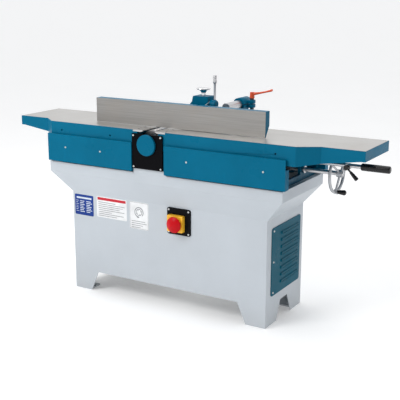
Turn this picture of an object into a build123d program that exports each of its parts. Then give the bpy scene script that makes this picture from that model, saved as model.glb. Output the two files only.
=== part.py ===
"""Surface planer (jointer) with a sheet-steel cabinet, a fixed outfeed table, a lever-lowered
infeed table on eccentric shafts, a four-knife cutterhead and a sliding, tilting fence.

Frame: millimetres, +Z up, +X towards the infeed end, -Y towards the operator.
The origin is on the floor, at the middle of the cabinet column.
"""

import os
from math import cos, pi, radians, sin

from build123d import *

# ---------------------------------------------------------------- driving dimensions
TABLE_TOP = 850.0
TABLE_THICK = 22.0
TABLE_BACK_Y = 122.0
TABLE_WIDE_Y = -223.0
TABLE_NARROW_Y = -167.0
SKIRT = 12.0
OUTFEED_END_X = -870.0
INFEED_END_X = 957.0
OUTFEED_TAPER_X = (-697.0, -627.0)
INFEED_TAPER_X = (676.0, 766.0)
TIP_DEPTH = 46.0
OUTFEED_DEPTH = 76.0
INFEED_DEPTH = 86.0

HEAD_X = -60.0
HEAD_Z = 785.0
KNIFE_R = TABLE_TOP - HEAD_Z
DRUM_R = KNIFE_R - 2.0
DRUM_Y = (-178.0, 120.0)
JOURNAL_R = 15.0
KNIVES = 4
FIRST_KNIFE_DEG = 22.0

OUTFEED_LIP_X = HEAD_X - 27.0
INFEED_LIP_X = HEAD_X + 39.0
CASTING_GAP = 58.0
LIP_THICK = 8.0
LIP_WIDTH = 55.0

COLUMN_X = (-537.0, 537.0)
COLUMN_Y = (-186.0, 193.0)
COLUMN_TOP = 502.0
RIM_X = (-645.0, 622.0)
RIM_Y = (-222.0, 216.0)
RIM_Z = (601.0, 650.0)
SHEET = 3.0
FOOT_HEIGHT = 100.0
FOOT_BOTTOM = 100.0
FOOT_TOP = 144.0

BED_X = (-600.0, 600.0)
BED_Y = (-200.0, 200.0)
BED_Z = (RIM_Z[1], 745.0)
BED_WALL = 14.0
THROAT_X = (-170.0, 50.0)
SHELVES_X = (-520.0, -260.0)

APRON_Y = -237.0
APRON_Z = (657.0, 791.0)
LEFT_APRON_X = (-641.0, -144.0)
RIGHT_APRON_X = (35.0, 639.0)
REAR_APRON_Y = 231.0
COVER = 2.0

PLATE_X = (-143.0, 24.0)
PLATE_Z = (671.0, 834.0)
PLATE_Y = (-231.0, -225.0)

ECC_X = (150.0, 500.0)
ECC_Z = 712.0
ECC_OFFSET = 20.0
ECC_REST_DEG = 12.0
ECC_SHAFT_R = 14.0
ECC_DISC_R = 36.0
LUG_BORE_R = 37.0
LUG_R = 47.0
LUG_Y = ((-172.0, -150.0), (62.0, 84.0))
CRANK = 48.0
CRANK_PIN_R = 6.0

LEVER_Y = -100.0
LEVER_Z = 770.0
LEVER_END_X = 1042.0
GRIP_LENGTH = 124.0
LOCK_PIVOT_X = 862.0

WHEEL_X = 762.0
WHEEL_Y = 30.0
WHEEL_Z = 701.0
WHEEL_R = 90.0
WHEEL_RIM_R = 6.5
WHEEL_SHAFT_R = 10.0

FENCE_X = (-428.0, 484.0)
FENCE_FACE_Y = -118.0
FENCE_Z = (851.5, 966.0)
FENCE_THICK = 38.0
FENCE_PLATE = 12.0
TILT_Y = -97.0
TILT_Z = 860.0
TILT_EAR_R = 8.0
TILT_PIN_R = 4.0
TILT_EARS_X = (70.0, 200.0)
STRUT_PIN = (-60.0, 934.0)
STRUT_LOCK = (20.0, 958.0)
STRUT_X = (127.0, 133.0)

BAR_X = 216.0
BAR_Z = 949.0
BAR_R = 20.0
BAR_Y = (10.0, 213.0)
HOUSING_Y = (133.0, 215.0)
HOUSING_R = 30.0
CLAMP_X = 259.0
CLAMP_Y = 188.0

MOTOR_X = 60.0
MOTOR_Z = 300.0
MOTOR_R = 84.0
MOTOR_Y = (-90.0, 120.0)
PULLEY_Y = (157.0, 185.0)
HEAD_PULLEY_R = 45.0
MOTOR_PULLEY_R = 70.0
MOTOR_SHAFT_R = 14.0

SWITCH_X = 85.0
SWITCH_Z = 434.0
SWITCH_SIZE = 127.0
BOX_X = 77.5
BOX_Z = 428.0
BOX_SIZE = (84.0, 78.0)
BUTTON_X = 79.0
BUTTON_Z = 426.0

FIT = 0.05
GAP = 0.4

os.makedirs("parts", exist_ok=True)


# ---------------------------------------------------------------- helpers
def block(x, y, z, mode=Mode.ADD):
    """A rectangular block between two limits on each axis."""
    with Locations((sum(x) / 2, sum(y) / 2, sum(z) / 2)):
        Box(x[1] - x[0], y[1] - y[0], z[1] - z[0], mode=mode)


def rod_x(x, y, z, radius, mode=Mode.ADD):
    """A cylinder along X, between the two limits of x."""
    with Locations(Location((sum(x) / 2, y, z), (0, 90, 0))):
        Cylinder(radius, x[1] - x[0], mode=mode)


def rod_y(x, y, z, radius, mode=Mode.ADD):
    """A cylinder along Y, between the two limits of y."""
    with Locations(Location((x, sum(y) / 2, z), (90, 0, 0))):
        Cylinder(radius, y[1] - y[0], mode=mode)


def rod_z(x, y, z, radius, mode=Mode.ADD):
    """A cylinder along Z, between the two limits of z."""
    with Locations((x, y, sum(z) / 2)):
        Cylinder(radius, z[1] - z[0], mode=mode)


def save(built, name):
    """Label a finished piece and write its STEP file."""
    built.part.label = name
    export_step(built.part, f"parts/{name}.step")


def inset(limits, amount):
    """The same interval, made shorter by amount at both ends."""
    return (limits[0] + amount, limits[1] - amount)


def size_of(limits):
    return limits[1] - limits[0]


def middle(limits):
    return (limits[0] + limits[1]) / 2


def about(centre, half):
    """The interval that reaches half to each side of centre."""
    return (centre - half, centre + half)


# ---------------------------------------------------------------- cabinet
FEET_FRONT = [
    (COLUMN_X[0] + FOOT_BOTTOM, -1.0),
    (COLUMN_X[0] + FOOT_TOP, FOOT_HEIGHT),
    (COLUMN_X[1] - FOOT_TOP, FOOT_HEIGHT),
    (COLUMN_X[1] - FOOT_BOTTOM, -1.0),
]
SIDE_FOOT_BOTTOM = 112.0
SIDE_FOOT_TOP = 154.0
FEET_SIDE = [
    (COLUMN_Y[0] + SIDE_FOOT_BOTTOM, -1.0),
    (COLUMN_Y[0] + SIDE_FOOT_TOP, FOOT_HEIGHT - 6.0),
    (COLUMN_Y[1] - SIDE_FOOT_TOP, FOOT_HEIGHT - 6.0),
    (COLUMN_Y[1] - SIDE_FOOT_BOTTOM, -1.0),
]
VENT_Y = (-140.0, 160.0)
VENT_Z = (137.0, 456.0)
VENT_SCREWS_Z = (152.0, 296.5, 441.0)
SCREW_R = 2.5
REAR_HATCH_X = (-140.0, 260.0)
REAR_HATCH_Z = (150.0, 470.0)
PORT_Y = 10.0
PORT_Z = 310.0
PORT_R = 60.0
HATCH_LAP = 16.0
FLANGE = 42.0
BELT_GAP_X = (-120.0, 60.0)
GLAND_X = -380.0
GLAND_Z = 150.0
ANCHOR_X = 487.0
ANCHOR_Y = 146.0
ANCHOR_R = 7.0
FOOT_PLATE = 8.0


def section(inner):
    """The column's and the rim's limits, inner mm inside the outer skin."""
    return (
        inset(COLUMN_X, inner),
        inset(COLUMN_Y, inner),
        inset(RIM_X, inner),
        inset(RIM_Y, inner),
    )


with BuildPart() as base_cabinet:
    for wall, mode in ((0.0, Mode.ADD), (SHEET, Mode.SUBTRACT)):
        col_x, col_y, rim_x, rim_y = section(wall)
        block(col_x, col_y, (0.0, COLUMN_TOP), mode)
        block(rim_x, rim_y, RIM_Z, mode)
        with BuildSketch(Plane.XY.offset(COLUMN_TOP)):
            with Locations((middle(col_x), middle(col_y))):
                Rectangle(size_of(col_x), size_of(col_y))
        with BuildSketch(Plane.XY.offset(RIM_Z[0])):
            with Locations((middle(rim_x), middle(rim_y))):
                Rectangle(size_of(rim_x), size_of(rim_y))
        loft(mode=mode)
    # inward flange that the bed stands on, and the tab below the cutterhead plate
    block(RIM_X, RIM_Y, (RIM_Z[1] - SHEET, RIM_Z[1]))
    block(inset(RIM_X, FLANGE), inset(RIM_Y, FLANGE), (RIM_Z[1] - SHEET, RIM_Z[1]), Mode.SUBTRACT)
    block(BELT_GAP_X, (RIM_Y[1] - FLANGE - 1.0, RIM_Y[1] - 10.0), about(RIM_Z[1], SHEET + 1.0), Mode.SUBTRACT)
    block((PLATE_X[0], RIGHT_APRON_X[0]), (RIM_Y[0], RIM_Y[0] + SHEET), (RIM_Z[1], PLATE_Z[0] - 1.0))
    # cut-outs between the feet, on all four sides
    with BuildSketch(Plane.XZ.offset(-COLUMN_Y[1] - 10.0)):
        with BuildLine():
            Polyline(*FEET_FRONT, close=True)
        make_face()
    extrude(amount=size_of(COLUMN_Y) + 20.0, mode=Mode.SUBTRACT)
    with BuildSketch(Plane.YZ.offset(COLUMN_X[0] - 10.0)):
        with BuildLine():
            Polyline(*FEET_SIDE, close=True)
        make_face()
    extrude(amount=size_of(COLUMN_X) + 20.0, mode=Mode.SUBTRACT)
    # openings behind the vent panel, the rear hatch, the dust port and the switch
    block(about(COLUMN_X[1], 10.0), inset(VENT_Y, HATCH_LAP), inset(VENT_Z, HATCH_LAP), Mode.SUBTRACT)
    block(
        inset(REAR_HATCH_X, HATCH_LAP),
        about(COLUMN_Y[1], 10.0),
        inset(REAR_HATCH_Z, HATCH_LAP),
        Mode.SUBTRACT,
    )
    rod_x(about(COLUMN_X[0], 10.0), PORT_Y, PORT_Z, PORT_R + FIT, Mode.SUBTRACT)
    block(about(BOX_X, 40.0), about(COLUMN_Y[0], 10.0), about(BOX_Z, 36.0), Mode.SUBTRACT)
    rod_y(GLAND_X, about(COLUMN_Y[1], 10.0), GLAND_Z, 8.0, Mode.SUBTRACT)
    # foot plates welded in the four corners, with the anchor bolts' holes
    inner_x = inset(COLUMN_X, SHEET)
    inner_y = inset(COLUMN_Y, SHEET)
    for plate_x in ((inner_x[0], -ANCHOR_X + 44.0), (ANCHOR_X - 44.0, inner_x[1])):
        for plate_y in ((inner_y[0], -ANCHOR_Y + 36.0), (ANCHOR_Y - 36.0, inner_y[1])):
            block(plate_x, plate_y, (0.0, FOOT_PLATE))
    for anchor_x in (-ANCHOR_X, ANCHOR_X):
        for anchor_y in (-ANCHOR_Y, ANCHOR_Y):
            rod_z(anchor_x, anchor_y, (-1.0, FOOT_PLATE + 1.0), ANCHOR_R, Mode.SUBTRACT)
save(base_cabinet, "base_cabinet")

# ---------------------------------------------------------------- panels on the cabinet
LOUVRES = 8
LOUVRE_PITCH = 33.0
LOUVRE_HEIGHT = 17.0
LOUVRE_Y = 46.0
LOUVRE_LENGTH = 190.0
LOUVRE_Z = 184.0
with BuildPart() as end_vent_panel:
    with BuildSketch(Plane.YZ.offset(COLUMN_X[1])):
        with Locations((middle(VENT_Y), middle(VENT_Z))):
            RectangleRounded(size_of(VENT_Y), size_of(VENT_Z), 12.0)
    extrude(amount=3.0)
    # pressed louvres: a slot each, under a raised hood
    for row in range(LOUVRES):
        height = LOUVRE_Z + row * LOUVRE_PITCH
        with BuildSketch(Plane.YZ.offset(COLUMN_X[1] + 3.0)):
            with Locations((LOUVRE_Y, height)):
                SlotOverall(LOUVRE_LENGTH, LOUVRE_HEIGHT)
        extrude(amount=5.0, taper=35.0)
        with BuildSketch(Plane.YZ.offset(COLUMN_X[1])):
            with Locations((LOUVRE_Y, height - 5.0)):
                SlotOverall(LOUVRE_LENGTH - 16.0, 5.0)
        extrude(amount=9.0, mode=Mode.SUBTRACT)
    for screw_z in VENT_SCREWS_Z:
        rod_x((COLUMN_X[1] - 1.0, COLUMN_X[1] + 4.0), VENT_Y[0] + 18.0, screw_z, SCREW_R, Mode.SUBTRACT)
save(end_vent_panel, "end_vent_panel")

HATCH_SLOTS = 5
with BuildPart() as rear_hatch:
    with BuildSketch(Plane.XZ.offset(-COLUMN_Y[1])):
        with Locations((middle(REAR_HATCH_X), middle(REAR_HATCH_Z))):
            RectangleRounded(size_of(REAR_HATCH_X), size_of(REAR_HATCH_Z), 12.0)
    extrude(amount=-3.0)
    for row in range(HATCH_SLOTS):
        with BuildSketch(Plane.XZ.offset(-COLUMN_Y[1])):
            with Locations((middle(REAR_HATCH_X), REAR_HATCH_Z[0] + 80.0 + 40.0 * row)):
                SlotOverall(220.0, 10.0)
        extrude(amount=-3.0, mode=Mode.SUBTRACT)
    for screw_x in inset(REAR_HATCH_X, 10.0):
        for screw_z in inset(REAR_HATCH_Z, 10.0):
            rod_y(screw_x, (COLUMN_Y[1] - 1.0, COLUMN_Y[1] + 4.0), screw_z, SCREW_R, Mode.SUBTRACT)
save(rear_hatch, "rear_hatch")

with BuildPart() as dust_port:
    block((COLUMN_X[0] - 4.0, COLUMN_X[0]), about(PORT_Y, 80.0), about(PORT_Z, 80.0))
    rod_x((COLUMN_X[0] - 62.0, COLUMN_X[0]), PORT_Y, PORT_Z, PORT_R)
    rod_x((COLUMN_X[0] - 63.0, COLUMN_X[0] + 1.0), PORT_Y, PORT_Z, PORT_R - 2.0, Mode.SUBTRACT)
save(dust_port, "dust_port")

CHUTE_Y = (-150.0, 100.0)
CHUTE_OUTER = [
    (THROAT_X[0] + 20.0, 700.0),
    (THROAT_X[1] - 20.0, 700.0),
    (THROAT_X[1] - 20.0, 640.0),
    (COLUMN_X[0] + SHEET, 205.0),
    (COLUMN_X[0] + SHEET, 415.0),
    (THROAT_X[0] + 20.0, 590.0),
]
CHUTE_INNER = [
    (THROAT_X[0] + 22.0, 701.0),
    (THROAT_X[1] - 22.0, 701.0),
    (THROAT_X[1] - 22.0, 642.0),
    (COLUMN_X[0] + SHEET - 1.0, 208.0),
    (COLUMN_X[0] + SHEET - 1.0, 413.0),
    (THROAT_X[0] + 22.0, 588.0),
]
with BuildPart() as dust_chute:
    with BuildSketch(Plane.XZ.offset(-CHUTE_Y[1])):
        with BuildLine():
            Polyline(*CHUTE_OUTER, close=True)
        make_face()
    extrude(amount=size_of(CHUTE_Y))
    with BuildSketch(Plane.XZ.offset(-CHUTE_Y[1] + 2.0)):
        with BuildLine():
            Polyline(*CHUTE_INNER, close=True)
        make_face()
    extrude(amount=size_of(CHUTE_Y) - 4.0, mode=Mode.SUBTRACT)
save(dust_chute, "dust_chute")

with BuildPart() as cable_gland:
    rod_y(GLAND_X, (COLUMN_Y[1] - SHEET, COLUMN_Y[1]), GLAND_Z, 8.0)
    with BuildSketch(Plane.XZ.offset(-COLUMN_Y[1])):
        with Locations((GLAND_X, GLAND_Z)):
            RegularPolygon(13.0, 6)
    extrude(amount=-7.0)
    rod_y(GLAND_X, (COLUMN_Y[1] + 7.0, COLUMN_Y[1] + 20.0), GLAND_Z, 10.0)
    rod_y(GLAND_X, (COLUMN_Y[1] - SHEET - 1.0, COLUMN_Y[1] + 21.0), GLAND_Z, 5.0, Mode.SUBTRACT)
save(cable_gland, "cable_gland")

# ---------------------------------------------------------------- bed casting
HOUSING_BLOCK_Y = ((-214.0, -186.0), (124.0, 150.0))
SUPPORT_X = (176.0, 272.0)
SUPPORT_PAD_Y = (138.0, 200.0)
with BuildPart() as bed_casting:
    block(BED_X, BED_Y, BED_Z)
    block(inset(BED_X, BED_WALL), inset(BED_Y, BED_WALL), (BED_Z[0] - 1.0, BED_Z[1] + 1.0), Mode.SUBTRACT)
    # low end walls, so that the infeed linkage can reach out under the table
    for wall_x in (BED_X[0] + BED_WALL / 2, BED_X[1] - BED_WALL / 2):
        block(
            about(wall_x, BED_WALL),
            inset(BED_Y, BED_WALL),
            (BED_Z[0] + 30.0, BED_Z[1] + 1.0),
            Mode.SUBTRACT,
        )
    for wall_x in THROAT_X:
        block(about(wall_x, BED_WALL / 2), BED_Y, BED_Z)
    # shelves that the outfeed table's legs stand on
    for shelf_x in SHELVES_X:
        block(about(shelf_x, 34.0), BED_Y, (BED_Z[1] - 14.0, BED_Z[1]))
        block(about(shelf_x, 7.0), BED_Y, (BED_Z[0] + 30.0, BED_Z[1] - 14.0))
        for leg_y in (-130.0, 60.0):
            for leg_x in about(shelf_x, 20.0):
                rod_z(leg_x, leg_y, (BED_Z[1] - 15.0, BED_Z[1] + 1.0), 6.3, Mode.SUBTRACT)
    # bearing seat for the depth-stop handwheel's shaft
    block((BED_X[1] - BED_WALL, BED_X[1]), about(WHEEL_Y, 26.0), (BED_Z[0] + 29.0, WHEEL_Z + 24.0))
    rod_x((BED_X[1] - BED_WALL - 1.0, BED_X[1] + 1.0), WHEEL_Y, WHEEL_Z, WHEEL_SHAFT_R + FIT, Mode.SUBTRACT)
    # bores for the two eccentric shafts
    for shaft_x in ECC_X:
        rod_y(shaft_x, (BED_Y[0] - 1.0, BED_Y[1] + 1.0), ECC_Z, ECC_SHAFT_R + FIT, Mode.SUBTRACT)
    # pad under the fence support
    block(SUPPORT_X, SUPPORT_PAD_Y, (BED_Z[1] - 20.0, BED_Z[1]))
    # notches in which the two bearing housings sit
    for limits_y in HOUSING_BLOCK_Y:
        block(about(HEAD_X, 64.0), limits_y, (BED_Z[0] + 40.0, BED_Z[1] + 1.0), Mode.SUBTRACT)
    # rail under the rear bearing housing
    block(THROAT_X, HOUSING_BLOCK_Y[1], (BED_Z[0], BED_Z[0] + 40.0))
save(bed_casting, "bed_casting")


# ---------------------------------------------------------------- tables
def table_outline(end_x, taper_x, near_x):
    """Plan outline of one table: narrow at its far end, wide at the cutterhead."""
    return [
        (end_x, TABLE_BACK_Y),
        (end_x, TABLE_NARROW_Y),
        (taper_x[1], TABLE_NARROW_Y),
        (taper_x[0], TABLE_WIDE_Y),
        (near_x, TABLE_WIDE_Y),
        (near_x, TABLE_BACK_Y),
    ]


def shift_outline(end_x, taper_x, near_x):
    """The outline of the hollow under one table, a skirt's width inside its edge."""
    way = 1.0 if end_x > near_x else -1.0
    return [
        (end_x - way * SKIRT, TABLE_BACK_Y - SKIRT),
        (end_x - way * SKIRT, TABLE_NARROW_Y + SKIRT),
        (taper_x[1] - way * 4.0, TABLE_NARROW_Y + SKIRT),
        (taper_x[0] - way * 4.0, TABLE_WIDE_Y + SKIRT),
        (near_x + way * SKIRT, TABLE_WIDE_Y + SKIRT),
        (near_x + way * SKIRT, TABLE_BACK_Y - SKIRT),
    ]


def skirt_profile(end_x, taper_x, near_x, depth):
    """Side view of what is cut away below the skirts: deep at the bed, shallow at both ends."""
    way = 1.0 if end_x > near_x else -1.0
    bottom = TABLE_TOP - 200.0
    notch_x = near_x + way * SKIRT
    return [
        (end_x + way * 5.0, bottom),
        (end_x + way * 5.0, TABLE_TOP - TIP_DEPTH),
        (end_x - way * 20.0, TABLE_TOP - TIP_DEPTH),
        (taper_x[0], TABLE_TOP - depth),
        (notch_x, TABLE_TOP - depth),
        (notch_x, TABLE_TOP - TABLE_THICK),
        (near_x - way * 5.0, TABLE_TOP - TABLE_THICK),
        (near_x - way * 5.0, bottom),
    ]


def lug_x(shaft_x):
    """X of the eccentric disc's centre at rest, for the shaft at shaft_x."""
    return shaft_x + ECC_OFFSET * cos(radians(ECC_REST_DEG))


LUG_Z = ECC_Z + ECC_OFFSET * sin(radians(ECC_REST_DEG))
OUTFEED_NEAR_X = HEAD_X - CASTING_GAP
INFEED_NEAR_X = HEAD_X + CASTING_GAP
RIBS_Y = (-50.0,)
SIDE_HOLE_Z = 810.0

with BuildPart() as outfeed_table:
    with BuildSketch(Plane.XY.offset(TABLE_TOP - OUTFEED_DEPTH)):
        with BuildLine():
            Polyline(*table_outline(OUTFEED_END_X, OUTFEED_TAPER_X[::-1], OUTFEED_NEAR_X), close=True)
        make_face()
    extrude(amount=OUTFEED_DEPTH)
    top_edges = outfeed_table.faces().sort_by(Axis.Z)[-1].edges()
    chamfer(top_edges, 1.5)
    with BuildSketch(Plane.XY.offset(TABLE_TOP - OUTFEED_DEPTH - 1.0)):
        with BuildLine():
            Polyline(*shift_outline(OUTFEED_END_X, OUTFEED_TAPER_X[::-1], OUTFEED_NEAR_X), close=True)
        make_face()
    extrude(amount=OUTFEED_DEPTH + 1.0 - TABLE_THICK, mode=Mode.SUBTRACT)
    with BuildSketch(Plane.XZ.offset(-TABLE_BACK_Y - 5.0)):
        with BuildLine():
            Polyline(
                *skirt_profile(OUTFEED_END_X, OUTFEED_TAPER_X[::-1], OUTFEED_NEAR_X, OUTFEED_DEPTH),
                close=True,
            )
        make_face()
    extrude(amount=TABLE_BACK_Y - TABLE_WIDE_Y + 10.0, mode=Mode.SUBTRACT)
    # ribs, legs, the rebate for the lip and the small holes in the front skirt
    for rib_x in (-760.0, -640.0, -390.0, -200.0):
        block(
            about(rib_x, 5.0),
            (TABLE_NARROW_Y + 4.0, TABLE_BACK_Y - 4.0),
            (TABLE_TOP - TIP_DEPTH, TABLE_TOP - 10.0),
        )
    block((OUTFEED_END_X + 6.0, -182.0), about(RIBS_Y[0], 5.0), (TABLE_TOP - TIP_DEPTH, TABLE_TOP - 10.0))
    for shelf_x in SHELVES_X:
        for leg_x in about(shelf_x, 20.0):
            for leg_y in (-130.0, 60.0):
                rod_z(leg_x, leg_y, (BED_Z[1], TABLE_TOP - 10.0), 14.0)
                rod_z(leg_x, leg_y, (BED_Z[1] - 1.0, BED_Z[1] + 30.0), 6.0, Mode.SUBTRACT)
    block(
        (OUTFEED_LIP_X - LIP_WIDTH, OUTFEED_NEAR_X + 1.0),
        (TABLE_WIDE_Y - 1.0, TABLE_BACK_Y + 1.0),
        (TABLE_TOP - LIP_THICK, TABLE_TOP + 1.0),
        Mode.SUBTRACT,
    )
    for hole_x in (-563.0, -273.0):
        rod_y(hole_x, (TABLE_WIDE_Y - 1.0, TABLE_WIDE_Y + SKIRT + 1.0), SIDE_HOLE_Z, 4.5, Mode.SUBTRACT)
save(outfeed_table, "outfeed_table")

with BuildPart() as infeed_table:
    with BuildSketch(Plane.XY.offset(TABLE_TOP - INFEED_DEPTH)):
        with BuildLine():
            Polyline(*table_outline(INFEED_END_X, INFEED_TAPER_X, INFEED_NEAR_X), close=True)
        make_face()
    extrude(amount=INFEED_DEPTH)
    top_edges = infeed_table.faces().sort_by(Axis.Z)[-1].edges()
    chamfer(top_edges, 1.5)
    with BuildSketch(Plane.XY.offset(TABLE_TOP - INFEED_DEPTH - 1.0)):
        with BuildLine():
            Polyline(*shift_outline(INFEED_END_X, INFEED_TAPER_X, INFEED_NEAR_X), close=True)
        make_face()
    extrude(amount=INFEED_DEPTH + 1.0 - TABLE_THICK, mode=Mode.SUBTRACT)
    with BuildSketch(Plane.XZ.offset(-TABLE_BACK_Y - 5.0)):
        with BuildLine():
            Polyline(*skirt_profile(INFEED_END_X, INFEED_TAPER_X, INFEED_NEAR_X, INFEED_DEPTH), close=True)
        make_face()
    extrude(amount=TABLE_BACK_Y - TABLE_WIDE_Y + 10.0, mode=Mode.SUBTRACT)
    for rib_x in (300.0, 640.0, 880.0):
        block(
            about(rib_x, 5.0),
            (TABLE_NARROW_Y + 4.0, TABLE_BACK_Y - 4.0),
            (TABLE_TOP - 40.0, TABLE_TOP - 10.0),
        )
    # lugs that ride on the eccentric discs
    for shaft_x in ECC_X:
        for limits_y in LUG_Y:
            block(about(lug_x(shaft_x), LUG_R - 5.0), limits_y, (LUG_Z, TABLE_TOP - 10.0))
            rod_y(lug_x(shaft_x), limits_y, LUG_Z, LUG_R)
            rod_y(lug_x(shaft_x), (limits_y[0] - 1.0, limits_y[1] + 1.0), LUG_Z, LUG_BORE_R, Mode.SUBTRACT)
    block(
        (INFEED_NEAR_X - 1.0, INFEED_LIP_X + LIP_WIDTH),
        (TABLE_WIDE_Y - 1.0, TABLE_BACK_Y + 1.0),
        (TABLE_TOP - LIP_THICK, TABLE_TOP + 1.0),
        Mode.SUBTRACT,
    )
    rod_y(584.0, (TABLE_WIDE_Y - 1.0, TABLE_WIDE_Y + SKIRT + 1.0), SIDE_HOLE_Z, 4.5, Mode.SUBTRACT)
save(infeed_table, "infeed_table")


def lip_profile(edge_x, way, tip):
    """Side view of a lip: thin at its edge over the knives, full thickness further back."""
    return [
        (edge_x, TABLE_TOP),
        (edge_x + way * LIP_WIDTH, TABLE_TOP),
        (edge_x + way * LIP_WIDTH, TABLE_TOP - LIP_THICK),
        (edge_x + way * 11.0, TABLE_TOP - LIP_THICK),
        (edge_x, TABLE_TOP - tip),
    ]


LIP_SCREWS = 6
LIP_PITCH = 56.0
for lip_name, edge_x, way, tip in (
    ("outfeed_lip", OUTFEED_LIP_X, -1.0, 4.0),
    ("infeed_lip", INFEED_LIP_X, 1.0, 3.0),
):
    with BuildPart() as lip:
        with BuildSketch(Plane.XZ.offset(-TABLE_BACK_Y)):
            with BuildLine():
                Polyline(*lip_profile(edge_x, way, tip), close=True)
            make_face()
        extrude(amount=TABLE_BACK_Y - TABLE_WIDE_Y)
        with Locations((edge_x + way * 42.0, (TABLE_BACK_Y + TABLE_WIDE_Y) / 2, TABLE_TOP)):
            with GridLocations(1.0, LIP_PITCH, 1, LIP_SCREWS):
                CounterSinkHole(3.0, 6.0, depth=LIP_THICK)
    save(lip, lip_name)

# ---------------------------------------------------------------- cutterhead and its bearings
SLOT_DEPTH = 24.0
SLOT_HALF = 7.0
KNIFE_THICK = 3.0
SCREWS_PER_GIB = 5
KNIFE_ANGLES = [FIRST_KNIFE_DEG + 360.0 / KNIVES * index for index in range(KNIVES)]
GIB_TOP = DRUM_R - 5.0


def knife_plane(angle):
    """A plane across the head at one knife: local y points out along the knife."""
    outward = (sin(radians(angle)), 0.0, cos(radians(angle)))
    across = (cos(radians(angle)), 0.0, -sin(radians(angle)))
    turned = Vector(*across).cross(Vector(*outward))
    return Plane(origin=(HEAD_X, DRUM_Y[1], HEAD_Z), x_dir=across, z_dir=turned)


with BuildPart() as cutter_drum:
    rod_y(HEAD_X, DRUM_Y, HEAD_Z, DRUM_R)
    rod_y(HEAD_X, (PLATE_Y[1] + 4.0, PULLEY_Y[1] + 6.0), HEAD_Z, JOURNAL_R)
    for angle in KNIFE_ANGLES:
        with BuildSketch(knife_plane(angle)):
            with Locations((0.0, DRUM_R - SLOT_DEPTH / 2 + 2.0)):
                Rectangle(2 * SLOT_HALF, SLOT_DEPTH + 4.0)
        extrude(amount=size_of(DRUM_Y), mode=Mode.SUBTRACT)
save(cutter_drum, "cutter_drum")

SLOT_FLOOR = DRUM_R - SLOT_DEPTH
with BuildPart() as cutter_knives:
    for angle in KNIFE_ANGLES:
        with BuildSketch(knife_plane(angle)):
            with BuildLine():
                Polyline(
                    (-SLOT_HALF, SLOT_FLOOR),
                    (-SLOT_HALF + KNIFE_THICK, SLOT_FLOOR),
                    (-SLOT_HALF + KNIFE_THICK, KNIFE_R - 4.0),
                    (-SLOT_HALF + 0.4, KNIFE_R - 0.6),
                    (-SLOT_HALF, KNIFE_R - 0.6),
                    close=True,
                )
            make_face()
        extrude(amount=size_of(DRUM_Y))
save(cutter_knives, "cutter_knives")

with BuildPart() as knife_gibs:
    for angle in KNIFE_ANGLES:
        with BuildSketch(knife_plane(angle)):
            with BuildLine():
                Polyline(
                    (-SLOT_HALF + KNIFE_THICK, SLOT_FLOOR),
                    (SLOT_HALF, SLOT_FLOOR),
                    (SLOT_HALF, GIB_TOP - 7.0),
                    (-SLOT_HALF + KNIFE_THICK, GIB_TOP),
                    close=True,
                )
            make_face()
        extrude(amount=size_of(DRUM_Y))
    for angle in KNIFE_ANGLES:
        outward = (sin(radians(angle)), cos(radians(angle)))
        across = (cos(radians(angle)), -sin(radians(angle)))
        for index in range(SCREWS_PER_GIB):
            y = DRUM_Y[0] + 30.0 + index * (size_of(DRUM_Y) - 60.0) / (SCREWS_PER_GIB - 1)
            x = HEAD_X + outward[0] * (GIB_TOP - 8.0) + across[0] * 2.0
            z = HEAD_Z + outward[1] * (GIB_TOP - 8.0) + across[1] * 2.0
            with Locations(Location((x, y, z), (0.0, angle, 0.0))):
                Cylinder(3.5, 16.0, mode=Mode.SUBTRACT)
save(knife_gibs, "knife_gibs")

with BuildPart() as gib_screws:
    for angle in KNIFE_ANGLES:
        outward = (sin(radians(angle)), cos(radians(angle)))
        across = (cos(radians(angle)), -sin(radians(angle)))
        for index in range(SCREWS_PER_GIB):
            y = DRUM_Y[0] + 30.0 + index * (size_of(DRUM_Y) - 60.0) / (SCREWS_PER_GIB - 1)
            x = HEAD_X + outward[0] * (GIB_TOP - 11.0) + across[0] * 2.0
            z = HEAD_Z + outward[1] * (GIB_TOP - 11.0) + across[1] * 2.0
            with Locations(Location((x, y, z), (0.0, angle, 0.0))):
                Cylinder(3.4, 9.0)
save(gib_screws, "gib_screws")

HOUSING_TOP_R = 38.0
BEARING_R = 31.0
BEARING_WIDTH = 16.0
with BuildPart() as bearing_housings:
    for limits_y in HOUSING_BLOCK_Y:
        block(about(HEAD_X, 60.0), limits_y, (BED_Z[0] + 40.0, BED_Z[1] + 10.0))
        block(about(HEAD_X, HOUSING_TOP_R), limits_y, (BED_Z[1], HEAD_Z))
        rod_y(HEAD_X, limits_y, HEAD_Z, HOUSING_TOP_R)
        rod_y(HEAD_X, inset(limits_y, -1.0), HEAD_Z, BEARING_R, Mode.SUBTRACT)
save(bearing_housings, "bearing_housings")

with BuildPart() as bearing_outer_rings:
    for limits_y in HOUSING_BLOCK_Y:
        span = about(middle(limits_y), BEARING_WIDTH / 2)
        rod_y(HEAD_X, span, HEAD_Z, BEARING_R)
        rod_y(HEAD_X, (span[0] - 1.0, span[1] + 1.0), HEAD_Z, BEARING_R - 4.0, Mode.SUBTRACT)
save(bearing_outer_rings, "bearing_outer_rings")

with BuildPart() as bearing_inner_rings:
    for limits_y in HOUSING_BLOCK_Y:
        span = about(middle(limits_y), BEARING_WIDTH / 2)
        rod_y(HEAD_X, span, HEAD_Z, JOURNAL_R + 4.0)
        rod_y(HEAD_X, (span[0] - 1.0, span[1] + 1.0), HEAD_Z, JOURNAL_R, Mode.SUBTRACT)
save(bearing_inner_rings, "bearing_inner_rings")

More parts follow.
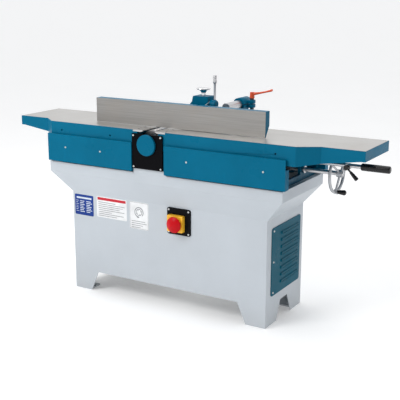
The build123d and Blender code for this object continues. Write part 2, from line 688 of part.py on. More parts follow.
BALL_R = 3.7
BALLS = 11
BALL_TRACK_R = (BEARING_R - 4.0 + JOURNAL_R + 4.0) / 2
with BuildPart() as bearing_balls:
    for limits_y in HOUSING_BLOCK_Y:
        for index in range(BALLS):
            angle = 2 * pi * index / BALLS
            place = (
                HEAD_X + BALL_TRACK_R * cos(angle),
                middle(limits_y),
                HEAD_Z + BALL_TRACK_R * sin(angle),
            )
            with Locations(place):
                Sphere(BALL_R)
save(bearing_balls, "bearing_balls")


def groove_profile(radius, grooves, width):
    """Half section of a V-belt pulley, radius against axial position."""
    points = [(0.0, 0.0), (radius, 0.0)]
    pitch = width / grooves
    for groove in range(grooves):
        start = groove * pitch
        points += [(radius, start + 2.0), (radius - 9.0, start + 4.5)]
        points += [(radius - 9.0, start + pitch - 4.5), (radius, start + pitch - 2.0)]
    points += [(radius, width), (0.0, width)]
    return points


GROOVES = 2
for pulley_name, centre_x, centre_z, radius, bore in (
    ("cutterhead_pulley", HEAD_X, HEAD_Z, HEAD_PULLEY_R, JOURNAL_R),
    ("motor_pulley", MOTOR_X, MOTOR_Z, MOTOR_PULLEY_R, MOTOR_SHAFT_R),
):
    with BuildPart() as pulley:
        with BuildSketch(Plane(origin=(centre_x, PULLEY_Y[0], centre_z), x_dir=(1, 0, 0), z_dir=(0, 0, 1))):
            with BuildLine():
                Polyline(*groove_profile(radius, GROOVES, size_of(PULLEY_Y)), close=True)
            make_face()
        revolve(axis=Axis((centre_x, 0, centre_z), (0, 1, 0)))
        rod_y(centre_x, (PULLEY_Y[0] - 1.0, PULLEY_Y[1] + 1.0), centre_z, bore, Mode.SUBTRACT)
    save(pulley, pulley_name)

BELT_TOP = 0.6
BELT_DEPTH = 7.0
with BuildPart() as drive_belts:
    # each belt is the open loop around two circles, lying in the grooves
    run = Vector(MOTOR_X - HEAD_X, MOTOR_Z - HEAD_Z)
    for groove in range(GROOVES):
        pitch = size_of(PULLEY_Y) / GROOVES
        centre_y = PULLEY_Y[0] + pitch * (groove + 0.5)
        plane = Plane.XZ.offset(-centre_y - 2.2)
        for grow, mode in ((BELT_TOP, Mode.ADD), (BELT_TOP - BELT_DEPTH, Mode.SUBTRACT)):
            small = HEAD_PULLEY_R + grow
            large = MOTOR_PULLEY_R + grow
            lean = (large - small) / run.length
            direction = run.normalized()
            side = Vector(-direction.Y, direction.X)
            tangents = []
            for sign in (1.0, -1.0):
                normal = side * (sign * (1.0 - lean**2) ** 0.5) - direction * lean
                tangents.append((normal * small, run + normal * large))
            with BuildSketch(plane, mode=Mode.PRIVATE) as loop:
                with Locations((HEAD_X, HEAD_Z)):
                    Circle(small)
                with Locations((MOTOR_X, MOTOR_Z)):
                    Circle(large)
                with Locations((HEAD_X, HEAD_Z)):
                    with BuildLine():
                        Polyline(
                            *(
                                (HEAD_X + point.X, HEAD_Z + point.Y)
                                for point in (tangents[0][0], tangents[0][1], tangents[1][1], tangents[1][0])
                            ),
                            close=True,
                        )
                make_face()
            extrude(loop.sketch, amount=4.4, mode=mode)
save(drive_belts, "drive_belts")

with BuildPart() as front_end_plate:
    block(PLATE_X, PLATE_Y, PLATE_Z)
    edges = front_end_plate.edges().filter_by(Axis.Y)
    fillet(edges, 4.0)
    rod_y(HEAD_X, (PLATE_Y[0] - 1.0, PLATE_Y[1] + 1.0), HEAD_Z, 24.0, Mode.SUBTRACT)
    for screw_x in inset(PLATE_X, 9.0):
        for screw_z in inset(PLATE_Z, 9.0):
            rod_y(screw_x, inset(PLATE_Y, -1.0), screw_z, SCREW_R, Mode.SUBTRACT)
    for spacer_x in about(HEAD_X, 45.0):
        rod_y(spacer_x, (PLATE_Y[1], HOUSING_BLOCK_Y[0][0]), BED_Z[1] - 20.0, 8.0)
save(front_end_plate, "front_end_plate")

CAP_R = 49.0
with BuildPart() as front_bearing_cap:
    rod_y(HEAD_X, (PLATE_Y[0] - 12.0, PLATE_Y[0]), HEAD_Z, CAP_R)
    rim_edge = front_bearing_cap.edges().filter_by(GeomType.CIRCLE).sort_by(Axis.Y)[0]
    fillet(rim_edge, 3.0)
    rod_y(HEAD_X, (PLATE_Y[0] - 4.0, PLATE_Y[0] + 1.0), HEAD_Z, CAP_R - 6.0, Mode.SUBTRACT)
save(front_bearing_cap, "front_bearing_cap")

# ---------------------------------------------------------------- covers along the bed
APRON_RETURN = 36.0
SCREW_Z = 730.0
LEFT_SCREWS_X = (-532.0, -323.0)
RIGHT_SCREWS_X = (155.0, 536.0)
SPACER_R = 7.0
for apron_name, limits_x, screws_x in (
    ("front_apron_left", LEFT_APRON_X, LEFT_SCREWS_X),
    ("front_apron_right", RIGHT_APRON_X, RIGHT_SCREWS_X),
):
    with BuildPart() as apron:
        block(limits_x, (APRON_Y, APRON_Y + COVER), APRON_Z)
        block(limits_x, (APRON_Y, APRON_Y + 11.0), (APRON_Z[1] - COVER, APRON_Z[1]))
        long_edges = apron.edges().filter_by(Axis.X).group_by(Axis.Y)[0].sort_by(Axis.Z)[-1]
        fillet(long_edges, 1.8)
        outer = limits_x[0] if limits_x[0] < -300.0 else limits_x[1] - COVER
        inner = limits_x[1] - COVER if limits_x[0] < -300.0 else limits_x[0]
        block((outer, outer + COVER), (APRON_Y, APRON_Y + APRON_RETURN), (APRON_Z[0], APRON_Z[1] - 46.0))
        block((inner, inner + COVER), (APRON_Y, APRON_Y + 11.0), APRON_Z)
        for screw_x in screws_x:
            rod_y(screw_x, (APRON_Y + COVER, BED_Y[0]), SCREW_Z, SPACER_R)
            rod_y(screw_x, (APRON_Y - 1.0, BED_Y[0] + 1.0), SCREW_Z, SCREW_R, Mode.SUBTRACT)
    save(apron, apron_name)

GUARD_X = (-142.0, 20.0)
GUARD_Y = (TABLE_BACK_Y + 3.0, 212.0)
GUARD_Z = (BED_Z[1], 838.0)
DECK_Y = TABLE_BACK_Y + 4.0
REAR_SCREWS_X = (-532.0, -260.0, 330.0, 536.0)
with BuildPart() as rear_apron:
    block((LEFT_APRON_X[0], RIGHT_APRON_X[1]), (REAR_APRON_Y - COVER, REAR_APRON_Y), APRON_Z)
    block((LEFT_APRON_X[0], RIGHT_APRON_X[1]), (DECK_Y, REAR_APRON_Y), (APRON_Z[1] - COVER, APRON_Z[1]))
    top_bend = rear_apron.edges().filter_by(Axis.X).group_by(Axis.Y)[-1].sort_by(Axis.Z)[-1]
    fillet(top_bend, 1.8)
    for end_x in (LEFT_APRON_X[0], RIGHT_APRON_X[1] - COVER):
        block((end_x, end_x + COVER), (REAR_APRON_Y - APRON_RETURN, REAR_APRON_Y), (APRON_Z[0], APRON_Z[1]))
    block(
        (GUARD_X[0] - 1.0, GUARD_X[1] + 1.0),
        (DECK_Y - 1.0, GUARD_Y[1] + 1.0),
        (APRON_Z[1] - 5.0, APRON_Z[1] + 1.0),
        Mode.SUBTRACT,
    )
    block(
        (SUPPORT_X[0] - 1.0, SUPPORT_X[1] + 1.0),
        (DECK_Y - 1.0, SUPPORT_PAD_Y[1] + 1.0),
        (APRON_Z[1] - 5.0, APRON_Z[1] + 1.0),
        Mode.SUBTRACT,
    )
    for screw_x in REAR_SCREWS_X:
        rod_y(screw_x, (BED_Y[1], REAR_APRON_Y - COVER), SCREW_Z, SPACER_R)
        rod_y(screw_x, (BED_Y[1] - 1.0, REAR_APRON_Y + 1.0), SCREW_Z, SCREW_R, Mode.SUBTRACT)
save(rear_apron, "rear_apron")

with BuildPart() as belt_guard:
    block(GUARD_X, GUARD_Y, GUARD_Z)
    guard_edges = belt_guard.edges().filter_by(Axis.Y).group_by(Axis.Z)[-1]
    fillet(guard_edges, 20.0)
    top_back = belt_guard.faces().sort_by(Axis.Y)[-1].edges().sort_by(Axis.Z)[-1]
    fillet(top_back, 8.0)
    block(inset(GUARD_X, COVER), inset(GUARD_Y, COVER), (GUARD_Z[0] - 1.0, GUARD_Z[1] - 22.0), Mode.SUBTRACT)
    block(
        inset(GUARD_X, 22.0),
        (GUARD_Y[0] + COVER, GUARD_Y[1] - 10.0),
        (GUARD_Z[0], GUARD_Z[1] - COVER),
        Mode.SUBTRACT,
    )
    rod_y(HEAD_X, about(GUARD_Y[0], 5.0), HEAD_Z, HOUSING_TOP_R + 2.0, Mode.SUBTRACT)
    housing_way_x = about(HEAD_X, HOUSING_TOP_R + 2.0)
    block(housing_way_x, about(GUARD_Y[0], 5.0), (GUARD_Z[0] - 1.0, HEAD_Z), Mode.SUBTRACT)
    block(about(HEAD_X, 62.0), about(GUARD_Y[0], 5.0), (GUARD_Z[0] - 1.0, GUARD_Z[0] + 12.0), Mode.SUBTRACT)
save(belt_guard, "belt_guard")

# ---------------------------------------------------------------- motor and its mount
MOUNT_Z = MOTOR_Z - MOTOR_R - 22.0
MOUNT_X = (MOTOR_X - 120.0, MOTOR_X + 120.0)
FINS = 20
with BuildPart() as motor_mount:
    block(MOUNT_X, inset(COLUMN_Y, SHEET), (MOUNT_Z - 5.0, MOUNT_Z))
    for wall_y in (COLUMN_Y[0] + SHEET, COLUMN_Y[1] - SHEET - 5.0):
        block(MOUNT_X, (wall_y, wall_y + 5.0), (MOUNT_Z - 40.0, MOUNT_Z))
    for slot_x in about(MOTOR_X, 70.0):
        for slot_y in (-50.0, 80.0):
            with BuildSketch(Plane.XY.offset(MOUNT_Z - 6.0)):
                with Locations((slot_x, slot_y)):
                    SlotOverall(40.0, 11.0)
            extrude(amount=7.0, mode=Mode.SUBTRACT)
save(motor_mount, "motor_mount")

with BuildPart() as motor_housing:
    rod_y(MOTOR_X, MOTOR_Y, MOTOR_Z, MOTOR_R - 8.0)
    # cooling fins stand round the motor's own axis
    with BuildSketch(Plane.XZ.offset(-MOTOR_Y[1] + 24.0)):
        with Locations((MOTOR_X, MOTOR_Z)):
            with PolarLocations(MOTOR_R - 7.0, FINS):
                Rectangle(12.0, 3.0)
    extrude(amount=size_of(MOTOR_Y) - 60.0)
    rod_y(MOTOR_X, (MOTOR_Y[1] - 22.0, MOTOR_Y[1] - 6.0), MOTOR_Z, MOTOR_R)
    rod_y(MOTOR_X, (MOTOR_Y[0] - 10.0, MOTOR_Y[0] + 30.0), MOTOR_Z, MOTOR_R)
    for foot_x in about(MOTOR_X, 70.0):
        block(about(foot_x, 18.0), (-70.0, 100.0), (MOUNT_Z, MOUNT_Z + 12.0))
        block(about((foot_x + MOTOR_X) / 2, 20.0), (-70.0, 100.0), (MOUNT_Z, MOUNT_Z + 34.0))
    block(about(MOTOR_X + MOTOR_R, 24.0), about(20.0, 45.0), about(MOTOR_Z, 38.0))
    rod_y(MOTOR_X, (MOTOR_Y[1] - 61.0, MOTOR_Y[1] + 1.0), MOTOR_Z, MOTOR_SHAFT_R + FIT, Mode.SUBTRACT)
save(motor_housing, "motor_housing")

with BuildPart() as motor_shaft:
    rod_y(MOTOR_X, (MOTOR_Y[1] - 60.0, PULLEY_Y[1] + 2.0), MOTOR_Z, MOTOR_SHAFT_R)
save(motor_shaft, "motor_shaft")

# ---------------------------------------------------------------- infeed lowering gear
CRANK_Y = (-140.0, -128.0)
LINK_Y = (-127.0, -119.0)
CRANK_DROP = radians(ECC_REST_DEG)
LEVER_HUB_Y = (LEVER_Y - 12.0, LEVER_Y + 12.0)
PIN_Z = ECC_Z - CRANK * cos(CRANK_DROP)
PIN_SHIFT = CRANK * sin(CRANK_DROP)
for shaft_name, shaft_x in zip(("inner_eccentric_shaft", "outer_eccentric_shaft"), ECC_X):
    with BuildPart() as eccentric:
        rod_y(shaft_x, inset(BED_Y, 2.0), ECC_Z, ECC_SHAFT_R)
        for limits_y in LUG_Y:
            rod_y(lug_x(shaft_x), inset(limits_y, -1.0), LUG_Z, ECC_DISC_R)
        # crank arm and its pin, for the link between the two shafts
        with BuildSketch(Plane.XZ.offset(-CRANK_Y[1])):
            with BuildLine():
                Polyline(
                    (shaft_x - 18.0, ECC_Z),
                    (shaft_x + 18.0, ECC_Z),
                    (shaft_x + PIN_SHIFT + 11.0, PIN_Z),
                    (shaft_x + PIN_SHIFT - 11.0, PIN_Z),
                    close=True,
                )
            make_face()
        extrude(amount=size_of(CRANK_Y))
        rod_y(shaft_x, CRANK_Y, ECC_Z, 20.0)
        rod_y(shaft_x + PIN_SHIFT, CRANK_Y, PIN_Z, 11.0)
        rod_y(shaft_x + PIN_SHIFT, (CRANK_Y[1], LINK_Y[1] + 2.0), PIN_Z, CRANK_PIN_R)
    save(eccentric, shaft_name)

with BuildPart() as link_bar:
    with BuildSketch(Plane.XZ.offset(-LINK_Y[1])):
        with Locations((middle(ECC_X) + PIN_SHIFT, PIN_Z)):
            SlotCenterToCenter(size_of(ECC_X), 24.0)
    extrude(amount=size_of(LINK_Y))
    for shaft_x, clearance in zip(ECC_X, (0.6, FIT)):
        rod_y(
            shaft_x + PIN_SHIFT, inset(LINK_Y, -1.0), PIN_Z, CRANK_PIN_R + clearance, Mode.SUBTRACT
        )
save(link_bar, "link_bar")

LEVER_BAR_R = 9.0
LEVER_KNEE_X = 640.0
GRIP_R = 15.5
GRIP_X = (LEVER_END_X - GRIP_LENGTH, LEVER_END_X)
with BuildPart() as lift_lever:
    # hub clamped on the outer shaft, then a bent bar out to the grip
    rod_y(ECC_X[1], LEVER_HUB_Y, ECC_Z, 28.0)
    with BuildLine(Plane.XZ.offset(-LEVER_Y)) as bar_path:
        FilletPolyline(
            (ECC_X[1] + 20.0, ECC_Z + 8.0),
            (LEVER_KNEE_X, LEVER_Z),
            (GRIP_X[1] - 12.0, LEVER_Z),
            radius=60.0,
        )
    with BuildSketch(Plane(origin=bar_path.line @ 0, z_dir=bar_path.line % 0)):
        Circle(LEVER_BAR_R)
    sweep(path=bar_path.line)
    # boss that carries the lock handle
    rod_y(LOCK_PIVOT_X, about(LEVER_Y, 12.0), LEVER_Z - 5.0, 13.0)
    rod_y(LOCK_PIVOT_X, about(LEVER_Y, 13.0), LEVER_Z - 5.0, 6.0 + FIT, Mode.SUBTRACT)
    rod_y(ECC_X[1], inset(LEVER_HUB_Y, -1.0), ECC_Z, ECC_SHAFT_R, Mode.SUBTRACT)
save(lift_lever, "lift_lever")

with BuildPart() as lever_grip:
    rod_x(GRIP_X, LEVER_Y, LEVER_Z, GRIP_R)
    end_edges = lever_grip.edges().filter_by(GeomType.CIRCLE)
    fillet(end_edges, 6.0)
    rod_x((GRIP_X[0] - 1.0, GRIP_X[1] - 12.0), LEVER_Y, LEVER_Z, LEVER_BAR_R, Mode.SUBTRACT)
save(lever_grip, "lever_grip")

LOCK_TILT = 45.0
LOCK_LENGTH = 68.0
LOCK_Y = LEVER_Y - 20.0
LOCK_WAY = (cos(radians(LOCK_TILT)), 0.0, -sin(radians(LOCK_TILT)))
with BuildPart() as lock_handle:
    # spindle through the lever's boss, and a tapered handle off its front end
    rod_y(LOCK_PIVOT_X, (LEVER_Y - 28.0, LEVER_Y + 16.0), LEVER_Z - 5.0, 6.0)
    rod_y(LOCK_PIVOT_X, (LEVER_Y - 30.0, LEVER_Y - 12.5), LEVER_Z - 5.0, 11.0)
    with BuildSketch(
        Plane(origin=(LOCK_PIVOT_X, LOCK_Y - 1.0, LEVER_Z - 5.0), x_dir=LOCK_WAY, z_dir=(0, 1, 0))
    ):
        with BuildLine():
            Polyline((0.0, 0.0), (0.0, 4.0), (24.0, 4.0), (26.0, 6.0), (LOCK_LENGTH - 3.0, 9.0))
            Polyline((LOCK_LENGTH - 3.0, 9.0), (LOCK_LENGTH, 6.0), (LOCK_LENGTH, 0.0), (0.0, 0.0))
        make_face()
    revolve(axis=Axis((LOCK_PIVOT_X, LOCK_Y - 1.0, LEVER_Z - 5.0), LOCK_WAY))
save(lock_handle, "lock_handle")

SPOKES = 3
HUB_X = (WHEEL_X + 2.0, WHEEL_X + 26.0)
with BuildPart() as handwheel:
    rod_x(HUB_X, WHEEL_Y, WHEEL_Z, 17.0)
    for index in range(SPOKES):
        # spokes rake back from the hub into the rim
        angle = radians(-97.0 + 360.0 / SPOKES * index)
        rim_point = Vector(
            WHEEL_X,
            WHEEL_Y + (WHEEL_R - WHEEL_RIM_R + 2.0) * cos(angle),
            WHEEL_Z + (WHEEL_R - WHEEL_RIM_R + 2.0) * sin(angle),
        )
        hub_point = Vector(middle(HUB_X), WHEEL_Y + 8.0 * cos(angle), WHEEL_Z + 8.0 * sin(angle))
        spoke = rim_point - hub_point
        with BuildSketch(Plane(origin=hub_point, z_dir=spoke)):
            Circle(5.0)
        extrude(amount=spoke.length)
    with BuildSketch(Plane.XY.offset(WHEEL_Z)):
        with Locations((WHEEL_X, WHEEL_Y + WHEEL_R - WHEEL_RIM_R)):
            Circle(WHEEL_RIM_R)
    revolve(axis=Axis((WHEEL_X, WHEEL_Y, WHEEL_Z), (1, 0, 0)))
    # boss for the crank knob
    knob_z = WHEEL_Z - (WHEEL_R - WHEEL_RIM_R)
    rod_x(about(WHEEL_X, 8.0), WHEEL_Y, knob_z, 11.0)
    rod_x((HUB_X[0] - 8.0, HUB_X[1] + 1.0), WHEEL_Y, WHEEL_Z, WHEEL_SHAFT_R, Mode.SUBTRACT)
    rod_x(about(WHEEL_X, 9.0), WHEEL_Y, knob_z, 4.0 + FIT, Mode.SUBTRACT)
save(handwheel, "handwheel")

with BuildPart() as handwheel_shaft:
    rod_x((BED_X[1] - 60.0, HUB_X[1] + 4.0), WHEEL_Y, WHEEL_Z, WHEEL_SHAFT_R)
    rod_x((BED_X[1] + GAP, BED_X[1] + 12.0), WHEEL_Y, WHEEL_Z, 17.0)
save(handwheel_shaft, "handwheel_shaft")

KNOB_X = (WHEEL_X + 8.0 + GAP, WHEEL_X + 46.0)
with BuildPart() as crank_knob:
    with BuildSketch(Plane(origin=(KNOB_X[0], WHEEL_Y, knob_z), x_dir=(1, 0, 0), z_dir=(0, 1, 0))):
        with BuildLine():
            Polyline((0.0, 0.0), (0.0, 8.0), (4.0, 9.0))
            Line((4.0, 9.0), (28.0, 12.0))
            ThreePointArc((28.0, 12.0), (34.0, 10.0), (37.6, 5.0))
            Polyline((37.6, 5.0), (37.6, 0.0), (0.0, 0.0))
        make_face()
    revolve(axis=Axis((KNOB_X[0], WHEEL_Y, knob_z), (1, 0, 0)))
    rod_x((WHEEL_X - 10.0, KNOB_X[0] + 1.0), WHEEL_Y, knob_z, 4.0)
save(crank_knob, "crank_knob")

# ---------------------------------------------------------------- fence, carriage and support
HOUSING_FOOT_Z = (BED_Z[1], BED_Z[1] + 14.0)
CLAMP_EAR_Z = (BAR_Z - 18.0, BAR_Z + 18.0)
FOOT_BOLTS = [
    (bolt_x, bolt_y)
    for bolt_x in (SUPPORT_X[0] + 12.0, SUPPORT_X[1] - 12.0)
    for bolt_y in (SUPPORT_PAD_Y[0] + 12.0, SUPPORT_PAD_Y[1] - 12.0)
]
with BuildPart() as fence_support:
    block(SUPPORT_X, SUPPORT_PAD_Y, HOUSING_FOOT_Z)
    block(
        (BAR_X - 17.0, BAR_X + 20.0),
        (SUPPORT_PAD_Y[0] + 4.0, SUPPORT_PAD_Y[1] - 2.0),
        (HOUSING_FOOT_Z[0], BAR_Z - 10.0),
    )
    rod_y(BAR_X, HOUSING_Y, BAR_Z, HOUSING_R)
    # split ears at the infeed side, pulled together by the clamp lever's screw
    block((BAR_X, CLAMP_X + 13.0), (CLAMP_Y - 20.0, CLAMP_Y + 20.0), CLAMP_EAR_Z)
    ear_edges = fence_support.edges().filter_by(Axis.Z).group_by(Axis.X)[-1]
    fillet(ear_edges, 12.0)
    rod_y(BAR_X, inset(HOUSING_Y, -1.0), BAR_Z, BAR_R + FIT, Mode.SUBTRACT)
    block((BAR_X, CLAMP_X + 14.0), inset(HOUSING_Y, -1.0), about(BAR_Z, 1.5), Mode.SUBTRACT)
    rod_z(CLAMP_X, CLAMP_Y, inset(CLAMP_EAR_Z, -1.0), 6.0 + FIT, Mode.SUBTRACT)
    for bolt_x, bolt_y in FOOT_BOLTS:
        rod_z(bolt_x, bolt_y, inset(HOUSING_FOOT_Z, -1.0), 6.3, Mode.SUBTRACT)
save(fence_support, "fence_support")

LEG_BOLTS = [
    (leg_x, leg_y) for shelf_x in SHELVES_X for leg_x in about(shelf_x, 20.0) for leg_y in (-130.0, 60.0)
]


def hex_bolt(x, y, head_z, way, grip):
    """A hex bolt on a vertical axis: way is +1 where its head stands above its shank."""
    with BuildPart(mode=Mode.PRIVATE) as bolt:
        with BuildSketch(Plane.XY.offset(head_z)):
            with Locations((x, y)):
                RegularPolygon(9.2, 6)
        extrude(amount=way * 7.5)
        rod_z(x, y, sorted((head_z, head_z - way * grip)), 6.0)
    return bolt.part


frame_bolt_solids = [hex_bolt(x, y, HOUSING_FOOT_Z[1], 1.0, 14.0) for x, y in FOOT_BOLTS]
frame_bolt_solids += [hex_bolt(x, y, BED_Z[1] - 14.0, -1.0, 40.0) for x, y in LEG_BOLTS]
with BuildPart() as frame_bolts:
    add(frame_bolt_solids)
save(frame_bolts, "frame_bolts")

with BuildPart() as guide_bar:
    rod_y(BAR_X, BAR_Y, BAR_Z, BAR_R)
    bar_ends = guide_bar.edges().filter_by(GeomType.CIRCLE)
    chamfer(bar_ends, 1.5)
save(guide_bar, "guide_bar")

BASE_Z = (TABLE_TOP + 1.5, TABLE_TOP + 13.0)
BASE_X = (42.0, 240.0)
BLOCK_X = (46.0, 125.0)
BLOCK_Y = (0.0, 62.0)
BLOCK_TOP = 993.0
FORK_WIDTH = 12.0
with BuildPart() as fence_carriage:
    block((BASE_X[0], BAR_X - 66.0), (TILT_Y, BAR_Y[0] + 60.0), BASE_Z)
    block(BASE_X, (TILT_Y, BAR_Y[0] + 2.0), BASE_Z)
    # forks around the tilt hinge's two ears
    for ear_x in TILT_EARS_X:
        for fork_x in about(ear_x, 6.0 + GAP + FORK_WIDTH / 2):
            rod_x(about(fork_x, FORK_WIDTH / 2), TILT_Y, TILT_Z, TILT_EAR_R)
        block(
            about(ear_x, 6.0 + GAP),
            (TILT_Y - 9.0, TILT_Y + TILT_EAR_R + 6.0),
            (BASE_Z[0] - 1.0, BASE_Z[1] + 8.0),
            Mode.SUBTRACT,
        )
    # tall block with a sloping cheek, hollow underneath
    with BuildSketch(Plane.XZ.offset(-BLOCK_Y[1])):
        with BuildLine():
            Polyline(
                (BLOCK_X[0] - 40.0, BASE_Z[0] + 60.0),
                (BLOCK_X[0] - 40.0, 930.0),
                (BLOCK_X[0] - 6.0, 966.0),
                (BLOCK_X[0], BLOCK_TOP),
                (BLOCK_X[1], BLOCK_TOP),
                (BLOCK_X[1], BASE_Z[0]),
                (BLOCK_X[0] - 4.0, BASE_Z[0]),
                close=True,
            )
        make_face()
    extrude(amount=size_of(BLOCK_Y))
    upright = fence_carriage.edges().filter_by(Axis.Y).group_by(Axis.Z)[-1]
    fillet(upright, 4.0)
    # web that the guide bar's front end is bolted to
    block(about(BAR_X, 24.0), (-4.0, BAR_Y[0]), (BASE_Z[0], BAR_Z - 6.0))
    rod_y(BAR_X, (-4.0, BAR_Y[0]), BAR_Z - 6.0, 24.0)
    block(about(BAR_X, 40.0), (-5.0, BAR_Y[0] + 1.0), (BAR_Z - 3.0, BAR_Z + 40.0), Mode.SUBTRACT)
    # gussets in front of the web
    for web_x in (BAR_X - 24.0, BAR_X + 14.0):
        with BuildSketch(Plane.YZ.offset(web_x)):
            with BuildLine():
                Polyline(
                    (0.0, BASE_Z[0]),
                    (-52.0, BASE_Z[0]),
                    (-52.0, BASE_Z[1] + 4.0),
                    (0.0, BAR_Z - 30.0),
                    close=True,
                )
            make_face()
        extrude(amount=10.0)
    for ear_x in TILT_EARS_X:
        rod_x(about(ear_x, 20.0), TILT_Y, TILT_Z, TILT_PIN_R + FIT, Mode.SUBTRACT)
    rod_z(middle(BLOCK_X), middle(BLOCK_Y), (BLOCK_TOP - 40.0, BLOCK_TOP + 1.0), 8.0 + FIT, Mode.SUBTRACT)
    rod_x((BLOCK_X[1] - 24.0, BLOCK_X[1] + 1.0), STRUT_LOCK[0], STRUT_LOCK[1], 6.0 + FIT, Mode.SUBTRACT)
save(fence_carriage, "fence_carriage")

KNOB_CENTRE = (middle(BLOCK_X), middle(BLOCK_Y))
with BuildPart() as clamp_knob:
    # mushroom hand knob on a threaded spindle
    with BuildSketch(Plane(origin=(*KNOB_CENTRE, BLOCK_TOP), x_dir=(1, 0, 0), z_dir=(0, -1, 0))):
        with BuildLine():
            Polyline((0.0, -36.0), (8.0, -36.0), (8.0, 0.6), (11.0, 0.6), (11.0, 14.0))
            ThreePointArc((11.0, 14.0), (19.0, 23.0), (31.0, 28.0))
            ThreePointArc((31.0, 28.0), (36.0, 32.5), (32.0, 37.0))
            ThreePointArc((32.0, 37.0), (20.0, 40.0), (8.0, 41.0))
            Polyline((8.0, 41.0), (0.0, 41.0), (0.0, -36.0))
        make_face()
    revolve(axis=Axis((KNOB_CENTRE[0], KNOB_CENTRE[1], 0.0), (0, 0, 1)))
save(clamp_knob, "clamp_knob")

LOCK_HUB_X = (STRUT_X[1] + GAP, STRUT_X[1] + 30.0)
ROD_X = middle(LOCK_HUB_X) + 4.0
ROD_TOP = 1092.0
with BuildPart() as tilt_lock_lever:
    rod_x(LOCK_HUB_X, STRUT_LOCK[0], STRUT_LOCK[1], 20.0)
    hub_edge = tilt_lock_lever.edges().filter_by(GeomType.CIRCLE).sort_by(Axis.X)[-1]
    fillet(hub_edge, 6.0)
    rod_x((BLOCK_X[1] - 20.0, LOCK_HUB_X[0]), STRUT_LOCK[0], STRUT_LOCK[1], 6.0)
    # upright rod with a knurled grip
    rod_z(ROD_X, STRUT_LOCK[0], (STRUT_LOCK[1] + 16.0, ROD_TOP - 38.0), 5.5)
    with BuildSketch(
        Plane(origin=(ROD_X, STRUT_LOCK[0], ROD_TOP - 40.0), x_dir=(1, 0, 0), z_dir=(0, -1, 0))
    ):
        with BuildLine():
            Polyline(
                (0.0, 0.0),
                (5.5, 0.0),
                (9.5, 7.0),
                (9.5, 20.0),
                (7.5, 22.0),
                (7.5, 26.0),
                (9.5, 28.0),
                (9.5, 37.0),
                (7.5, 40.0),
                (0.0, 40.0),
                close=True,
            )
        make_face()
    revolve(axis=Axis((ROD_X, STRUT_LOCK[0], 0.0), (0, 0, 1)))
save(tilt_lock_lever, "tilt_lock_lever")

RIB_PITCH = 101.0
RIBS = 10
FENCE_END_WEB = 10.0
with BuildPart() as fence:
    # ground face plate with a top flange, tapering to the bottom edge
    with BuildSketch(Plane.YZ.offset(FENCE_X[0])):
        with BuildLine():
            Polyline(
                (FENCE_FACE_Y, FENCE_Z[0]),
                (FENCE_FACE_Y + 4.0, FENCE_Z[0]),
                (FENCE_FACE_Y + FENCE_PLATE, FENCE_Z[0] + 10.0),
                (FENCE_FACE_Y + FENCE_PLATE, FENCE_Z[1] - 12.0),
                (FENCE_FACE_Y + FENCE_THICK, FENCE_Z[1] - 12.0),
                (FENCE_FACE_Y + FENCE_THICK, FENCE_Z[1]),
                (FENCE_FACE_Y, FENCE_Z[1]),
                close=True,
            )
        make_face()
    extrude(amount=size_of(FENCE_X))
    # end webs and ribs across the hollow back
    rib_starts = [FENCE_X[0], FENCE_X[1] - FENCE_END_WEB]
    rib_starts += [FENCE_X[0] + RIB_PITCH * index - 4.0 for index in range(1, RIBS - 1)]
    for rib_x in rib_starts:
        with BuildSketch(Plane.YZ.offset(rib_x)):
            with BuildLine():
                Polyline(
                    (FENCE_FACE_Y + 3.0, FENCE_Z[0]),
                    (FENCE_FACE_Y + 4.0, FENCE_Z[0]),
                    (FENCE_FACE_Y + FENCE_THICK, FENCE_Z[0] + 50.0),
                    (FENCE_FACE_Y + FENCE_THICK, FENCE_Z[1] - 6.0),
                    (FENCE_FACE_Y + 3.0, FENCE_Z[1] - 6.0),
                    close=True,
                )
            make_face()
        extrude(amount=FENCE_END_WEB if rib_x in rib_starts[:2] else 8.0)
    # hinge ears at the bottom and the strut's lug near the top
    for ear_x in TILT_EARS_X:
        rod_x(about(ear_x, 6.0), TILT_Y, TILT_Z, TILT_EAR_R)
        with BuildSketch(Plane.YZ.offset(ear_x - 6.0)):
            with BuildLine():
                Polyline(
                    (FENCE_FACE_Y + FENCE_PLATE - 2.0, TILT_Z - 6.0),
                    (TILT_Y, TILT_Z - TILT_EAR_R),
                    (TILT_Y + TILT_EAR_R, TILT_Z),
                    (FENCE_FACE_Y + FENCE_PLATE - 2.0, TILT_Z + 40.0),
                    close=True,
                )
            make_face()
        extrude(amount=12.0)
        rod_x(about(ear_x, 7.0), TILT_Y, TILT_Z, TILT_PIN_R, Mode.SUBTRACT)
    # the top flange is cut back where the strut swings up past it
    block(
        (STRUT_X[0] - 6.0, STRUT_X[1] + GAP),
        (FENCE_FACE_Y + FENCE_PLATE + 8.0, FENCE_FACE_Y + FENCE_THICK + 1.0),
        (FENCE_Z[1] - 16.0, FENCE_Z[1] + 1.0),
        Mode.SUBTRACT,
    )
    lug_x0 = STRUT_X[1] + GAP
    rod_x((lug_x0, lug_x0 + 12.0), STRUT_PIN[0], STRUT_PIN[1], 11.0)
    block((lug_x0, lug_x0 + 12.0), (FENCE_FACE_Y + 8.0, STRUT_PIN[0]), about(STRUT_PIN[1], 11.0))
    rod_x((lug_x0 - 1.0, lug_x0 + 13.0), STRUT_PIN[0], STRUT_PIN[1], 6.0, Mode.SUBTRACT)
save(fence, "fence")

with BuildPart() as tilt_pins:
    for ear_x in TILT_EARS_X:
        rod_x(about(ear_x, 6.0 + GAP + FORK_WIDTH - 1.0), TILT_Y, TILT_Z, TILT_PIN_R)
    rod_x((STRUT_X[0] - 3.0, lug_x0 + 14.0), STRUT_PIN[0], STRUT_PIN[1], 6.0)
save(tilt_pins, "tilt_pins")

